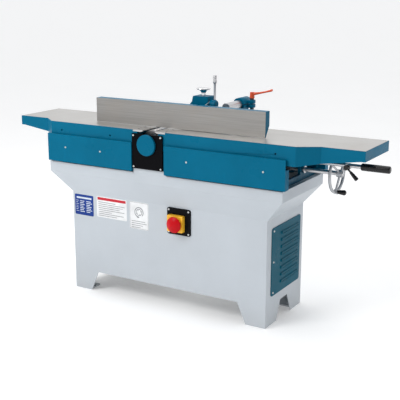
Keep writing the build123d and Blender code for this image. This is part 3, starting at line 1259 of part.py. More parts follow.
STRUT_REACH = ((STRUT_LOCK[0] - STRUT_PIN[0]) ** 2 + (STRUT_LOCK[1] - STRUT_PIN[1]) ** 2) ** 0.5
STRUT_WAY = (
    0.0,
    (STRUT_LOCK[0] - STRUT_PIN[0]) / STRUT_REACH,
    (STRUT_LOCK[1] - STRUT_PIN[1]) / STRUT_REACH,
)
SLOT_SPAN = (STRUT_REACH - 14.5, STRUT_REACH + 1.0)
SLOT_WIDE = 17.4
STRUT_WIDE = 29.0
with BuildPart() as tilt_strut:
    with BuildSketch(
        Plane(origin=(STRUT_X[0], *STRUT_PIN), x_dir=STRUT_WAY, z_dir=(1, 0, 0))
    ):
        with Locations((SLOT_SPAN[1] / 2, 0.0)):
            SlotCenterToCenter(SLOT_SPAN[1], STRUT_WIDE)
        Circle(6.0 + FIT, mode=Mode.SUBTRACT)
        with Locations((middle(SLOT_SPAN), 0.0)):
            SlotCenterToCenter(size_of(SLOT_SPAN), SLOT_WIDE, mode=Mode.SUBTRACT)
    extrude(amount=size_of(STRUT_X) - GAP)
save(tilt_strut, "tilt_strut")

HANDLE_Z = CLAMP_EAR_Z[1]
with BuildPart() as clamp_screw:
    rod_z(CLAMP_X, CLAMP_Y, (CLAMP_EAR_Z[0] - 8.0, HANDLE_Z + 6.0), 6.0)
    rod_z(CLAMP_X, CLAMP_Y, (HANDLE_Z + GAP, HANDLE_Z + 9.0), 9.5)
    with BuildSketch(Plane.XY.offset(CLAMP_EAR_Z[0] - 8.0)):
        with Locations((CLAMP_X, CLAMP_Y)):
            RegularPolygon(10.5, 6)
    extrude(amount=8.0 - GAP)
save(clamp_screw, "clamp_screw")

ARM_RISE = 24.0
ARM_REACH = 104.0
with BuildPart() as clamp_handle:
    with BuildSketch(Plane.XY.offset(HANDLE_Z + 9.0)):
        with Locations((CLAMP_X, CLAMP_Y)):
            Circle(12.0)
    extrude(amount=28.0, taper=4.0)
    with BuildSketch(Plane.YZ.offset(CLAMP_X)):
        with Locations((CLAMP_Y, HANDLE_Z + 28.0)):
            Ellipse(6.5, 8.5)
    with BuildSketch(Plane.YZ.offset(CLAMP_X + ARM_REACH * 0.7)):
        with Locations((CLAMP_Y, HANDLE_Z + 28.0 + ARM_RISE * 0.62)):
            Ellipse(5.0, 4.5)
    with BuildSketch(Plane.YZ.offset(CLAMP_X + ARM_REACH)):
        with Locations((CLAMP_Y, HANDLE_Z + 28.0 + ARM_RISE)):
            Ellipse(8.0, 6.0)
    loft()
save(clamp_handle, "clamp_handle")

# ---------------------------------------------------------------- switch
PANEL_Y = COLUMN_Y[0]
BOX_Y = (PANEL_Y - 28.0, PANEL_Y - 8.0)
LID_HINGE = (BOX_X - BOX_SIZE[0] / 2 - 4.0, PANEL_Y - 12.0)
KNUCKLE = 24.0
KNUCKLE_R = 3.5
HINGE_PIN_R = 1.5
with BuildPart() as switch_plate:
    with BuildSketch(Plane.XZ.offset(-PANEL_Y)):
        with Locations((SWITCH_X, SWITCH_Z)):
            RectangleRounded(SWITCH_SIZE, SWITCH_SIZE, 10.0)
    extrude(amount=6.0)
    front = switch_plate.faces().sort_by(Axis.Y)[0].edges()
    chamfer(front, 1.5)
    block(
        about(BOX_X, BOX_SIZE[0] / 2 - 5.0),
        (PANEL_Y - 7.0, PANEL_Y + 1.0),
        about(BOX_Z, BOX_SIZE[1] / 2 - 5.0),
        Mode.SUBTRACT,
    )
    for screw_x in about(SWITCH_X, SWITCH_SIZE / 2 - 10.0):
        for screw_z in about(SWITCH_Z, SWITCH_SIZE / 2 - 10.0):
            rod_y(screw_x, (PANEL_Y - 7.0, PANEL_Y + 1.0), screw_z, SCREW_R, Mode.SUBTRACT)
    # hinge ears and pin for the lid
    lower_ear_z = (BOX_Z - KNUCKLE - 8.0, BOX_Z - KNUCKLE - GAP)
    upper_ear_z = (BOX_Z + KNUCKLE + GAP, BOX_Z + KNUCKLE + 8.0)
    for ear_z in (lower_ear_z, upper_ear_z):
        rod_z(*LID_HINGE, ear_z, KNUCKLE_R)
        block(about(LID_HINGE[0], KNUCKLE_R), (LID_HINGE[1], PANEL_Y - 5.0), ear_z)
    rod_z(*LID_HINGE, about(BOX_Z, KNUCKLE + 6.0), HINGE_PIN_R)
save(switch_plate, "switch_plate")

with BuildPart() as switch_body:
    block(
        about(BOX_X, BOX_SIZE[0] / 2 - 5.5),
        (PANEL_Y - 6.5, PANEL_Y - 0.5),
        about(BOX_Z, BOX_SIZE[1] / 2 - 5.5),
    )
    block(about(BOX_X, 33.0), (PANEL_Y - 1.0, PANEL_Y + 50.0), about(BOX_Z, 30.0))
    rod_y(BOX_X + 22.0, (PANEL_Y - 7.0, PANEL_Y + 4.0), BOX_Z, 12.0, Mode.SUBTRACT)
save(switch_body, "switch_body")

with BuildPart() as start_button:
    rod_y(BOX_X + 22.0, (PANEL_Y - 9.5, PANEL_Y), BOX_Z, 11.6)
    button_edge = start_button.edges().filter_by(GeomType.CIRCLE).sort_by(Axis.Y)[0]
    fillet(button_edge, 1.2)
save(start_button, "start_button")

with BuildPart() as switch_lid:
    block(about(BOX_X, BOX_SIZE[0] / 2), BOX_Y, about(BOX_Z, BOX_SIZE[1] / 2))
    lid_edges = switch_lid.edges().filter_by(Axis.Y)
    fillet(lid_edges, 5.0)
    block(
        about(BOX_X, BOX_SIZE[0] / 2 - 3.0),
        (BOX_Y[0] + 3.0, BOX_Y[1] + 1.0),
        about(BOX_Z, BOX_SIZE[1] / 2 - 3.0),
        Mode.SUBTRACT,
    )
    rod_z(*LID_HINGE, about(BOX_Z, KNUCKLE), KNUCKLE_R)
    block(
        (LID_HINGE[0], BOX_X - BOX_SIZE[0] / 2 + 1.0),
        about(LID_HINGE[1] - 1.0, 2.0),
        about(BOX_Z, KNUCKLE),
    )
    rod_z(*LID_HINGE, about(BOX_Z, KNUCKLE + 1.0), HINGE_PIN_R + FIT, Mode.SUBTRACT)
    rod_y(BUTTON_X, (BOX_Y[0] - 1.0, BOX_Y[0] + 4.0), BUTTON_Z, 11.0 + GAP, Mode.SUBTRACT)
save(switch_lid, "switch_lid")

with BuildPart() as stop_button:
    # red mushroom head on a short stem
    with BuildSketch(Plane(origin=(BUTTON_X, BOX_Y[0], BUTTON_Z), x_dir=(0, -1, 0), z_dir=(1, 0, 0))):
        with BuildLine():
            Polyline((-10.0, 0.0), (-10.0, 11.0), (7.0, 11.0), (7.0, 34.0))
            ThreePointArc((7.0, 34.0), (9.0, 37.2), (13.0, 37.5))
            ThreePointArc((13.0, 37.5), (21.5, 23.0), (26.5, 7.0))
            Polyline((26.5, 7.0), (26.5, 0.0), (-10.0, 0.0))
        make_face()
    revolve(axis=Axis((BUTTON_X, 0.0, BUTTON_Z), (0, 1, 0)))
save(stop_button, "stop_button")

# ---------------------------------------------------------------- labels and screws
LABELS = {
    "rating_label": ((-526.0, -412.0), (386.0, 490.0)),
    "notice_label": ((-391.0, -212.0), (391.0, 495.0)),
    "rotation_label": ((-195.0, -86.0), (362.0, 496.0)),
}
for label_name, (limits_x, limits_z) in LABELS.items():
    with BuildPart() as label:
        with BuildSketch(Plane.XZ.offset(-PANEL_Y)):
            with Locations((middle(limits_x), middle(limits_z))):
                RectangleRounded(size_of(limits_x), size_of(limits_z), 6.0)
        extrude(amount=0.6)
    save(label, label_name)


def round_screw(origin, outward, length):
    """A dome-head screw: origin is under its head, outward points away from the work."""
    way = Vector(*outward)
    head = Plane(origin=origin, z_dir=outward)
    shank = Plane(origin=Vector(*origin) - way * length, z_dir=outward)
    with BuildPart(mode=Mode.PRIVATE) as screw:
        with BuildSketch(shank):
            Circle(SCREW_R - FIT)
        extrude(amount=length)
        with BuildSketch(head):
            Circle(5.0)
        extrude(amount=2.6, taper=25.0)
    return screw.part


cover_screws_solids = []
for screw_x in LEFT_SCREWS_X + RIGHT_SCREWS_X:
    cover_screws_solids.append(round_screw((screw_x, APRON_Y, SCREW_Z), (0, -1, 0), 30.0))
for screw_x in REAR_SCREWS_X:
    cover_screws_solids.append(round_screw((screw_x, REAR_APRON_Y, SCREW_Z), (0, 1, 0), 25.0))
for screw_z in VENT_SCREWS_Z:
    cover_screws_solids.append(round_screw((COLUMN_X[1] + 3.0, VENT_Y[0] + 18.0, screw_z), (1, 0, 0), 2.9))
for screw_x in inset(REAR_HATCH_X, 10.0):
    for screw_z in inset(REAR_HATCH_Z, 10.0):
        cover_screws_solids.append(round_screw((screw_x, COLUMN_Y[1] + 3.0, screw_z), (0, 1, 0), 2.9))
for screw_x in inset(PLATE_X, 9.0):
    for screw_z in inset(PLATE_Z, 9.0):
        cover_screws_solids.append(round_screw((screw_x, PLATE_Y[0], screw_z), (0, -1, 0), size_of(PLATE_Y)))
for screw_x in about(SWITCH_X, SWITCH_SIZE / 2 - 10.0):
    for screw_z in about(SWITCH_Z, SWITCH_SIZE / 2 - 10.0):
        cover_screws_solids.append(round_screw((screw_x, PANEL_Y - 6.0, screw_z), (0, -1, 0), 5.9))
with BuildPart() as cover_screws:
    add(cover_screws_solids)
save(cover_screws, "cover_screws")
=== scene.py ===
from math import cos, pi, radians, sin

import bmesh
import bpy
from mathutils import Matrix, Vector


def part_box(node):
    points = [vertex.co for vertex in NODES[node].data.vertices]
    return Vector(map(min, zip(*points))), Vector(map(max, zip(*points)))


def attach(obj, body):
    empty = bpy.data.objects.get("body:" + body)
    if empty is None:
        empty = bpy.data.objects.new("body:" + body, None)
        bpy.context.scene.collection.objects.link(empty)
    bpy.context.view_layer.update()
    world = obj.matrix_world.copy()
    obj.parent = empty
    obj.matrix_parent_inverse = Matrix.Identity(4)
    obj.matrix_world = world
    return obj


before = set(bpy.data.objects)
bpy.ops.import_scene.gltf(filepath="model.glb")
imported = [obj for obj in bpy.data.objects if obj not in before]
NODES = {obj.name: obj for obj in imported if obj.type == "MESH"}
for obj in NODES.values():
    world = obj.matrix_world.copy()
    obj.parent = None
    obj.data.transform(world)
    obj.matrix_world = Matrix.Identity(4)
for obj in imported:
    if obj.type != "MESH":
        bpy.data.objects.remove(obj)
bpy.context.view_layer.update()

MM = 0.001

# ------------------------------------------------------------------ camera, as solved from the photograph
camera_data = bpy.data.cameras.new("camera")
camera_data.sensor_width = 36.0
camera_data.lens = 75.8
camera = bpy.data.objects.new("camera", camera_data)
camera.location = (2.0816, -3.3537, 1.5006)
camera.rotation_euler = (radians(75.57), radians(-0.12), radians(30.79))
bpy.context.scene.collection.objects.link(camera)
bpy.context.scene.camera = camera


# ------------------------------------------------------------------ node helpers
class Shader:
    """One material's node tree, with short calls for the nodes that the materials share."""

    def __init__(self, name):
        self.material = bpy.data.materials.new(name)
        self.material.use_nodes = True
        self.tree = self.material.node_tree
        self.bsdf = self.tree.nodes["Principled BSDF"]
        self.place = self.tree.nodes.new("ShaderNodeTexCoord")

    def link(self, source, target):
        self.tree.links.new(source, target)

    def set(self, **values):
        """Constants straight on the shader, with spaces in socket names written as underscores."""
        for key, value in values.items():
            self.bsdf.inputs[key.replace("_", " ")].default_value = value

    def noise(self, scale, detail=4.0, rough=0.55, stretch=(1.0, 1.0, 1.0)):
        mapping = self.tree.nodes.new("ShaderNodeMapping")
        mapping.inputs["Scale"].default_value = stretch
        self.link(self.place.outputs["Object"], mapping.inputs["Vector"])
        texture = self.tree.nodes.new("ShaderNodeTexNoise")
        texture.inputs["Scale"].default_value = scale
        texture.inputs["Detail"].default_value = detail
        texture.inputs["Roughness"].default_value = rough
        self.link(mapping.outputs["Vector"], texture.inputs["Vector"])
        return texture.outputs["Fac"]

    def ramp(self, source, stops):
        """Colours (or grey levels) against the source's value."""
        node = self.tree.nodes.new("ShaderNodeValToRGB")
        elements = node.color_ramp.elements
        while len(elements) < len(stops):
            elements.new(0.5)
        for element, (position, colour) in zip(elements, stops):
            element.position = position
            grey = isinstance(colour, float)
            element.color = (colour, colour, colour, 1.0) if grey else (*colour, 1.0)
        self.link(source, node.inputs["Fac"])
        return node.outputs["Color"]

    def math(self, operation, first, second):
        node = self.tree.nodes.new("ShaderNodeMath")
        node.operation = operation
        for socket, value in zip(node.inputs, (first, second)):
            if isinstance(value, (int, float)):
                socket.default_value = value
            else:
                self.link(value, socket)
        return node.outputs["Value"]

    def mix(self, factor, first, second):
        """Blends two colours. On a Mix node these are sockets 6 and 7 in, and 2 out."""
        node = self.tree.nodes.new("ShaderNodeMix")
        node.data_type = "RGBA"
        for index, value in ((0, factor), (6, first), (7, second)):
            socket = node.inputs[index]
            if isinstance(value, float):
                socket.default_value = value
            elif isinstance(value, tuple):
                socket.default_value = (*value, 1.0)
            else:
                self.link(value, socket)
        return node.outputs[2]

    def split(self, source):
        node = self.tree.nodes.new("ShaderNodeSeparateXYZ")
        self.link(source, node.inputs["Vector"])
        return node.outputs

    def bump(self, height, distance, strength, below=None):
        node = self.tree.nodes.new("ShaderNodeBump")
        node.inputs["Distance"].default_value = distance
        node.inputs["Strength"].default_value = strength
        self.link(height, node.inputs["Height"])
        if below is not None:
            self.link(below, node.inputs["Normal"])
        return node.outputs["Normal"]

    def wire(self, colour, roughness, normal=None, metallic=None):
        """Links the finished layers to the shader and gives the material."""
        for name, source in (
            ("Base Color", colour),
            ("Roughness", roughness),
            ("Normal", normal),
            ("Metallic", metallic),
        ):
            if source is not None:
                self.link(source, self.bsdf.inputs[name])
        return self.material


def shade(colour, factor):
    """The same colour, darker or lighter."""
    return tuple(min(1.0, channel * factor) for channel in colour)


# ------------------------------------------------------------------ materials
# linear red, green and blue
TEAL = (0.0, 0.125, 0.225)
# the same teal, darkened as painted shade for the end vent panel and the rear hatch
TEAL_IN_PAINTED_SHADE = (0.0, 0.090, 0.140)
CABINET = (0.51, 0.55, 0.59)
DUST = (0.42, 0.40, 0.37)
SPECK = (0.35, 0.35, 0.36)
RUST_BLOOM = (0.36, 0.31, 0.26)
# where bare metal begins, in metres: up the tables, forward on the fence, up the lock lever
TABLE_GROUND_ABOVE = 0.8405
FENCE_GROUND_BEFORE = -0.1165
LOCK_BARE_ABOVE = 0.98
# the least share of a normal along an axis for its face to count as facing that way
FACING_LEAST = 0.75


def paint_layers(shader, colour, wear):
    """Sprayed enamel: cloudy tone and a few rubbed streaks. Gives colour and roughness."""
    cloud = shader.noise(3.2, 5.0, 0.6)
    tone = shader.ramp(cloud, [(0.3, shade(colour, 0.90)), (0.55, colour), (0.75, shade(colour, 1.10))])
    rub = shader.noise(22.0, 6.0, 0.7, (1.0, 1.0, 0.25))
    rub_mask = shader.ramp(rub, [(0.60, 0.0), (0.82, wear)])
    tone = shader.mix(rub_mask, tone, shade(colour, 1.45))
    gloss = shader.ramp(shader.noise(9.0, 4.0), [(0.35, 0.26), (0.7, 0.42)])
    return tone, gloss


def orange_peel(shader):
    """The skin of sprayed paint: a fine bump on a wider, fainter one."""
    fine = shader.bump(shader.noise(420.0, 2.0, 0.5), 0.0004, 0.35)
    return shader.bump(shader.noise(60.0, 3.0, 0.5), 0.0008, 0.175, fine)


def enamel(name, colour, wear=0.5, coat=0.0, shine=0.06):
    """Sprayed enamel on sheet or casting."""
    shader = Shader(name)
    tone, gloss = paint_layers(shader, colour, wear)
    shader.set(Coat_Weight=coat, Coat_Roughness=0.2, Specular_IOR_Level=shine)
    return shader.wire(tone, gloss, orange_peel(shader))


def powder_coat(name, colour):
    """Cabinet paint: fine texture, faint cloudiness, small specks, more dust towards the floor."""
    shader = Shader(name)
    cloud = shader.noise(2.4, 5.0, 0.6)
    tone = shader.ramp(cloud, [(0.3, shade(colour, 0.94)), (0.55, colour), (0.78, shade(colour, 1.05))])
    height = shader.split(shader.place.outputs["Object"])[2]
    uneven_height = shader.math("ADD", height, shader.math("MULTIPLY", shader.noise(14.0), 0.12))
    low = shader.ramp(uneven_height, [(0.05, 0.16), (0.22, 0.0)])
    tone = shader.mix(low, tone, DUST)
    specks = shader.ramp(shader.noise(90.0, 2.0, 0.4), [(0.70, 0.0), (0.80, 0.10)])
    tone = shader.mix(specks, tone, SPECK)
    gloss = shader.ramp(shader.noise(30.0, 3.0), [(0.3, 0.36), (0.7, 0.50)])
    shader.set(Coat_Weight=0.04, Coat_Roughness=0.3, Specular_IOR_Level=0.25)
    return shader.wire(tone, gloss, shader.bump(shader.noise(620.0, 2.0, 0.5), 0.0003, 0.5))


def ground_layers(shader, lines, light):
    """Ground iron: long grinding lines and a rusty bloom. Gives colour, roughness and the lines. light
    scales the iron's colour; below 1 it is painted shade.
    """
    strokes = shader.noise(1.0, 8.0, 0.75, lines)
    base = shader.ramp(
        strokes,
        [
            (0.25, shade((0.40, 0.39, 0.375), light)),
            (0.5, shade((0.50, 0.485, 0.465), light)),
            (0.75, shade((0.60, 0.585, 0.57), light)),
        ],
    )
    bloom = shader.ramp(shader.noise(6.0, 6.0, 0.65), [(0.52, 0.0), (0.72, 0.22)])
    base = shader.mix(bloom, base, RUST_BLOOM)
    stroke_gloss = shader.math("MULTIPLY", strokes, 0.22)
    cloud_gloss = shader.math("MULTIPLY", shader.noise(5.0), 0.28)
    gloss = shader.math("ADD", stroke_gloss, cloud_gloss)
    return base, shader.math("ADD", gloss, 0.10), strokes


def painted_casting(name, faces, lines, light=1.0):
    """Cast iron, teal enamel all over except the ground faces. faces(shader) gives that mask."""
    shader = Shader(name)
    mask = faces(shader)
    tone, gloss = paint_layers(shader, TEAL, 0.35)
    iron, iron_gloss, strokes = ground_layers(shader, lines, light)
    shader.set(Specular_IOR_Level=0.07)
    sand = shader.bump(shader.noise(240.0, 4.0, 0.6), 0.0006, 0.45)
    fine = shader.bump(strokes, 0.00008, 0.6)
    normal_mix = shader.mix(mask, sand, fine)
    colour = shader.mix(mask, tone, iron)
    roughness = shader.mix(mask, gloss, iron_gloss)
    return shader.wire(colour, roughness, normal_mix, shader.math("MULTIPLY", mask, 0.88))


def facing(shader, axis, sign):
    """1 where the surface's own normal points along the axis."""
    component = shader.split(shader.place.outputs["Normal"])[axis]
    return shader.math("GREATER_THAN", shader.math("MULTIPLY", component, sign), FACING_LEAST)


def table_top_mask(shader):
    """1 on the ground top of a table."""
    height = shader.split(shader.place.outputs["Object"])[2]
    above = shader.math("GREATER_THAN", height, TABLE_GROUND_ABOVE)
    return shader.math("MULTIPLY", facing(shader, 2, 1.0), above)


def fence_face_mask(shader):
    """1 on the ground front of the fence."""
    depth = shader.split(shader.place.outputs["Object"])[1]
    before = shader.math("LESS_THAN", depth, FENCE_GROUND_BEFORE)
    return shader.math("MULTIPLY", facing(shader, 1, -1.0), before)


def metal(name, colour, low, high, lines=(60.0, 60.0, 60.0), scratch=0.3, metallic=1.0):
    """Turned, drawn or plated metal: fine marks in colour, gloss and bump."""
    shader = Shader(name)
    marks = shader.noise(1.0, 6.0, 0.7, lines)
    tone = shader.ramp(marks, [(0.3, shade(colour, 0.84)), (0.5, colour), (0.7, shade(colour, 1.12))])
    stain = shader.ramp(shader.noise(28.0, 5.0, 0.6), [(0.58, 0.0), (0.8, 0.35)])
    tone = shader.mix(stain, tone, shade(colour, 0.6))
    gloss = shader.ramp(marks, [(0.3, low), (0.7, high)])
    shader.set(Metallic=metallic)
    return shader.wire(tone, gloss, shader.bump(marks, 0.0001, scratch))


def part_painted_steel(name, bare_above, lines):
    """Teal enamel up to a height, bright drawn steel above it: a rod that stands in a painted hub."""
    shader = Shader(name)
    painted = shader.math("LESS_THAN", shader.split(shader.place.outputs["Object"])[2], bare_above)
    paint, paint_gloss = paint_layers(shader, TEAL, 0.35)
    marks = shader.noise(1.0, 6.0, 0.7, lines)
    steel = shader.ramp(marks, [(0.3, (0.46, 0.46, 0.47)), (0.7, (0.62, 0.62, 0.63))])
    steel_gloss = shader.ramp(marks, [(0.3, 0.24), (0.7, 0.38)])
    shader.set(Specular_IOR_Level=0.1)
    tone = shader.mix(painted, steel, paint)
    gloss = shader.mix(painted, steel_gloss, paint_gloss)
    bare = shader.math("SUBTRACT", 1.0, painted)
    return shader.wire(tone, gloss, shader.bump(marks, 0.0001, 0.3), bare)


def plastic(name, colour, low, high, grain=500.0, depth=0.0002, coat=0.0, shine=0.4):
    """Moulded plastic: fine grain, slightly uneven gloss and tone."""
    shader = Shader(name)
    cloud = shader.noise(18.0, 4.0)
    tone = shader.ramp(cloud, [(0.3, shade(colour, 0.88)), (0.7, shade(colour, 1.10))])
    gloss = shader.ramp(shader.noise(70.0, 4.0, 0.6), [(0.3, low), (0.7, high)])
    shader.set(Coat_Weight=coat, Coat_Roughness=0.1, Specular_IOR_Level=shine)
    return shader.wire(tone, gloss, shader.bump(shader.noise(grain, 2.0, 0.5), depth, 0.5))


# stretches of the noise that draw long marks along one axis
LONG_X = (4.0, 260.0, 260.0)
LONG_Y = (260.0, 4.0, 260.0)
LONG_Z = (260.0, 260.0, 4.0)
MATERIALS = {
    "teal": enamel("teal_enamel", TEAL),
    # the end vent panel and the rear hatch: teal darkened as painted shade
    "teal_painted_shade": enamel("teal_enamel_painted_shade", TEAL_IN_PAINTED_SHADE),
    "cabinet": powder_coat("cabinet_powder_coat", CABINET),
    "table": painted_casting("table_iron", table_top_mask, (3.0, 240.0, 1.0)),
    # the fence's ground face is the tables' iron darkened to 0.62: painted shade
    "fence": painted_casting("fence_iron", fence_face_mask, (3.0, 1.0, 260.0), 0.62),
    "lip": metal("lip_steel", (0.56, 0.55, 0.54), 0.22, 0.38, (3.0, 240.0, 240.0)),
    # the bed casting and bearing housings sit in the dark under the tables: their teal is darkened to 0.55
    # as painted shade
    "bed": enamel("bed_enamel_painted_shade", shade(TEAL, 0.55), 0.2, 0.1),
    "black": enamel("black_enamel", (0.004, 0.004, 0.005), 0.2, 0.0, 0.03),
    "steel": metal("turned_steel", (0.56, 0.56, 0.57), 0.24, 0.40, LONG_Y),
    "steel_rod": metal("drawn_steel", (0.55, 0.55, 0.56), 0.26, 0.42, LONG_X),
    "cast_grey": metal("cast_grey", (0.46, 0.47, 0.49), 0.38, 0.56, (140.0, 140.0, 140.0), 0.6, 0.75),
    "chrome": metal("chrome_plate", (0.78, 0.78, 0.79), 0.06, 0.16, (20.0, 20.0, 20.0), 0.05),
    "lock_lever": part_painted_steel("lock_lever_steel", LOCK_BARE_ABOVE, LONG_Z),
    "zinc": metal("zinc_plate", (0.60, 0.61, 0.60), 0.30, 0.48, (90.0, 90.0, 90.0)),
    "dark_steel": metal("dark_steel", (0.10, 0.10, 0.105), 0.34, 0.5, (120.0, 120.0, 120.0), 0.3, 0.9),
    "knife": metal("knife_steel", (0.66, 0.66, 0.68), 0.14, 0.26, LONG_Y),
    "cast_aluminium": metal("cast_aluminium", (0.62, 0.62, 0.63), 0.34, 0.5, (180.0, 180.0, 180.0), 0.6),
    "phenolic": plastic("black_phenolic", (0.006, 0.006, 0.0065), 0.2, 0.3, 90.0, 0.0002, 0.1, 0.3),
    "orange": plastic("orange_nylon", (0.72, 0.085, 0.018), 0.30, 0.42),
    "switch_black": plastic(
        "black_thermoplastic", (0.005, 0.005, 0.006), 0.42, 0.56, 700.0, 0.0003, 0.0, 0.06
    ),
    "yellow": plastic("yellow_thermoplastic", (0.95, 0.50, 0.03), 0.26, 0.38),
    "red": plastic("red_thermoplastic", (0.52, 0.003, 0.008), 0.26, 0.38, 500.0, 0.0002, 0.0, 0.12),
    "green": plastic("green_thermoplastic", (0.01, 0.26, 0.06), 0.26, 0.38),
    "rubber": plastic("belt_rubber", (0.018, 0.018, 0.018), 0.65, 0.8, 300.0, 0.0006),
    "motor": enamel("motor_enamel", (0.10, 0.11, 0.12), 0.2, 0.1),
    "foil_blue": plastic("blue_foil", (0.012, 0.045, 0.24), 0.30, 0.42, 260.0, 0.0001, 0.0, 0.15),
    "foil_white": plastic("white_foil", (0.78, 0.79, 0.80), 0.34, 0.46, 260.0, 0.0001),
    "ink_red": plastic("red_ink", (0.52, 0.008, 0.022), 0.40, 0.52),
    "ink_grey": plastic("grey_ink", (0.16, 0.17, 0.19), 0.45, 0.55),
    "ink_pale": plastic("pale_ink", (0.62, 0.68, 0.76), 0.40, 0.52),
}

FINISH = {
    "base_cabinet": "cabinet",
    "end_vent_panel": "teal_painted_shade",
    "rear_hatch": "teal_painted_shade",
    "dust_port": "black",
    "dust_chute": "zinc",
    "cable_gland": "switch_black",
    "bed_casting": "bed",
    "outfeed_table": "table",
    "infeed_table": "table",
    "outfeed_lip": "lip",
    "infeed_lip": "lip",
    "cutter_drum": "steel",
    "cutter_knives": "knife",
    "knife_gibs": "dark_steel",
    "gib_screws": "dark_steel",
    "bearing_housings": "bed",
    "bearing_outer_rings": "steel",
    "bearing_inner_rings": "steel",
    "bearing_balls": "chrome",
    "cutterhead_pulley": "cast_aluminium",
    "motor_pulley": "cast_aluminium",
    "drive_belts": "rubber",
    "front_end_plate": "black",
    "front_bearing_cap": "teal",
    "front_apron_left": "teal",
    "front_apron_right": "teal",
    "rear_apron": "teal",
    "belt_guard": "teal",
    "motor_mount": "zinc",
    "motor_housing": "motor",
    "motor_shaft": "steel",
    "inner_eccentric_shaft": "steel",
    "outer_eccentric_shaft": "steel",
    "link_bar": "zinc",
    "lift_lever": "steel_rod",
    "lever_grip": "phenolic",
    "lock_handle": "phenolic",
    "handwheel": "cast_grey",
    "handwheel_shaft": "steel_rod",
    "crank_knob": "phenolic",
    "fence_support": "teal",
    "frame_bolts": "zinc",
    "guide_bar": "steel",
    "fence_carriage": "teal",
    "clamp_knob": "chrome",
    "tilt_lock_lever": "lock_lever",
    "fence": "fence",
    "tilt_pins": "steel_rod",
    "tilt_strut": "zinc",
    "clamp_screw": "dark_steel",
    "clamp_handle": "orange",
    "switch_plate": "switch_black",
    "switch_body": "switch_black",
    "start_button": "green",
    "switch_lid": "yellow",
    "stop_button": "red",
    "rating_label": "foil_blue",
    "notice_label": "foil_white",
    "rotation_label": "foil_white",
    "cover_screws": "zinc",
}

# edge rounding per node, in mm; a node that isn't named gets the small one
SMALL_EDGE = 0.5
EDGES = {
    "base_cabinet": 0.8,
    "outfeed_table": 1.6,
    "infeed_table": 1.6,
    "bed_casting": 2.0,
    "fence": 1.2,
    "fence_carriage": 2.5,
    "fence_support": 2.5,
    "lift_lever": 0.8,
    "front_end_plate": 1.0,
    "front_apron_left": 0.8,
    "front_apron_right": 0.8,
    "rear_apron": 0.8,
    "switch_lid": 1.2,
    "motor_housing": 1.0,
}
# nodes left as they come: sharp or thin ones, and ones whose dense mesh is very slow to round
SHARP = {
    "cutter_knives",
    "bearing_balls",
    "rating_label",
    "notice_label",
    "rotation_label",
    "gib_screws",
    "clamp_knob",
    "stop_button",
    "crank_knob",
    "handwheel",
    "clamp_handle",
}


def round_edges(thing, width):
    """Welds the imported triangles and rounds the hard edges, so that they catch the light."""
    weld = thing.modifiers.new("weld", "WELD")
    weld.merge_threshold = 0.00001
    bevel = thing.modifiers.new("round", "BEVEL")
    bevel.limit_method = "ANGLE"
    bevel.angle_limit = radians(34.0)
    bevel.width = width * MM
    bevel.segments = 2
    bevel.harden_normals = True
    bevel.use_clamp_overlap = True


for node, finish in FINISH.items():
    thing = NODES[node]
    thing.data.materials.clear()
    thing.data.materials.append(MATERIALS[finish])
    if node not in SHARP:
        round_edges(thing, EDGES.get(node, SMALL_EDGE))


# ------------------------------------------------------------------ mesh helpers
def finish_piece(name, mesh_data, material, body):
    """Turns a bmesh into a named piece that rides on a body."""
    mesh = bpy.data.meshes.new(name)
    bmesh.ops.recalc_face_normals(mesh_data, faces=mesh_data.faces)
    mesh_data.to_mesh(mesh)
    mesh_data.free()
    thing = bpy.data.objects.new(name, mesh)
    bpy.context.scene.collection.objects.link(thing)
    thing.data.materials.append(MATERIALS[material])
    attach(thing, body)


# ------------------------------------------------------------------ printing on the labels
# how far the print stands proud of its label, in metres
PRINT = 0.00015


def add_slab(mesh_data, x, z, face):
    """A thin raised patch on a label that faces -Y, all in metres."""
    size = (x[1] - x[0], PRINT, z[1] - z[0])
    middle = Vector(((x[0] + x[1]) / 2, face - PRINT / 2, (z[0] + z[1]) / 2))
    place = Matrix.Translation(middle) @ Matrix.Diagonal((*size, 1.0))
    bmesh.ops.create_cube(mesh_data, size=1.0, matrix=place)


def label_area(node):
    """The label's low and high corners, and where its face is along Y."""
    low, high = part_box(node)
    return low, high, low.y


def print_rows(name, node, ink, rows):
    """Rows of print: each is (left, right, bottom, top) as shares of the label."""
    low, high, face = label_area(node)
    mesh_data = bmesh.new()
    wide = high.x - low.x
    tall = high.z - low.z
    for left, right, bottom, top in rows:
        x = (low.x + left * wide, low.x + right * wide)
        z = (low.z + bottom * tall, low.z + top * tall)
        add_slab(mesh_data, x, z, face)
    finish_piece(name, mesh_data, ink, "frame")


def text_lines(left, right, top, pitch, count, height, ends):
    """Even lines of unreadable print, in shares of the label; ends is each line's missing share."""
    rows = []
    for index in range(count):
        stop = right - (right - left) * ends[index % len(ends)]
        rows.append((left, stop, top - index * pitch - height, top - index * pitch))
    return rows


print_rows("rating_title", "rating_label", "ink_pale", [(0.10, 0.90, 0.80, 0.88)])
rating_rows = text_lines(0.28, 0.52, 0.70, 0.085, 7, 0.035, (0.05, 0.2, 0.0, 0.3))
rating_rows += text_lines(0.62, 0.92, 0.70, 0.085, 7, 0.035, (0.2, 0.0, 0.35, 0.1))
rating_rows += text_lines(0.06, 0.22, 0.70, 0.085, 7, 0.018, (0.1, 0.3, 0.0, 0.2))
print_rows("rating_rows", "rating_label", "ink_pale", rating_rows)
print_rows("notice_bar", "notice_label", "ink_red", [(0.03, 0.97, 0.83, 0.96)])
notice_rows = text_lines(0.06, 0.94, 0.74, 0.092, 8, 0.022, (0.35, 0.0, 0.08, 0.2, 0.02, 0.5, 0.05, 0.3))
print_rows("notice_rows", "notice_label", "ink_grey", notice_rows)
rotation_rows = text_lines(0.10, 0.90, 0.30, 0.075, 4, 0.018, (0.1, 0.0, 0.25, 0.4))
print_rows("rotation_rows", "rotation_label", "ink_grey", rotation_rows)


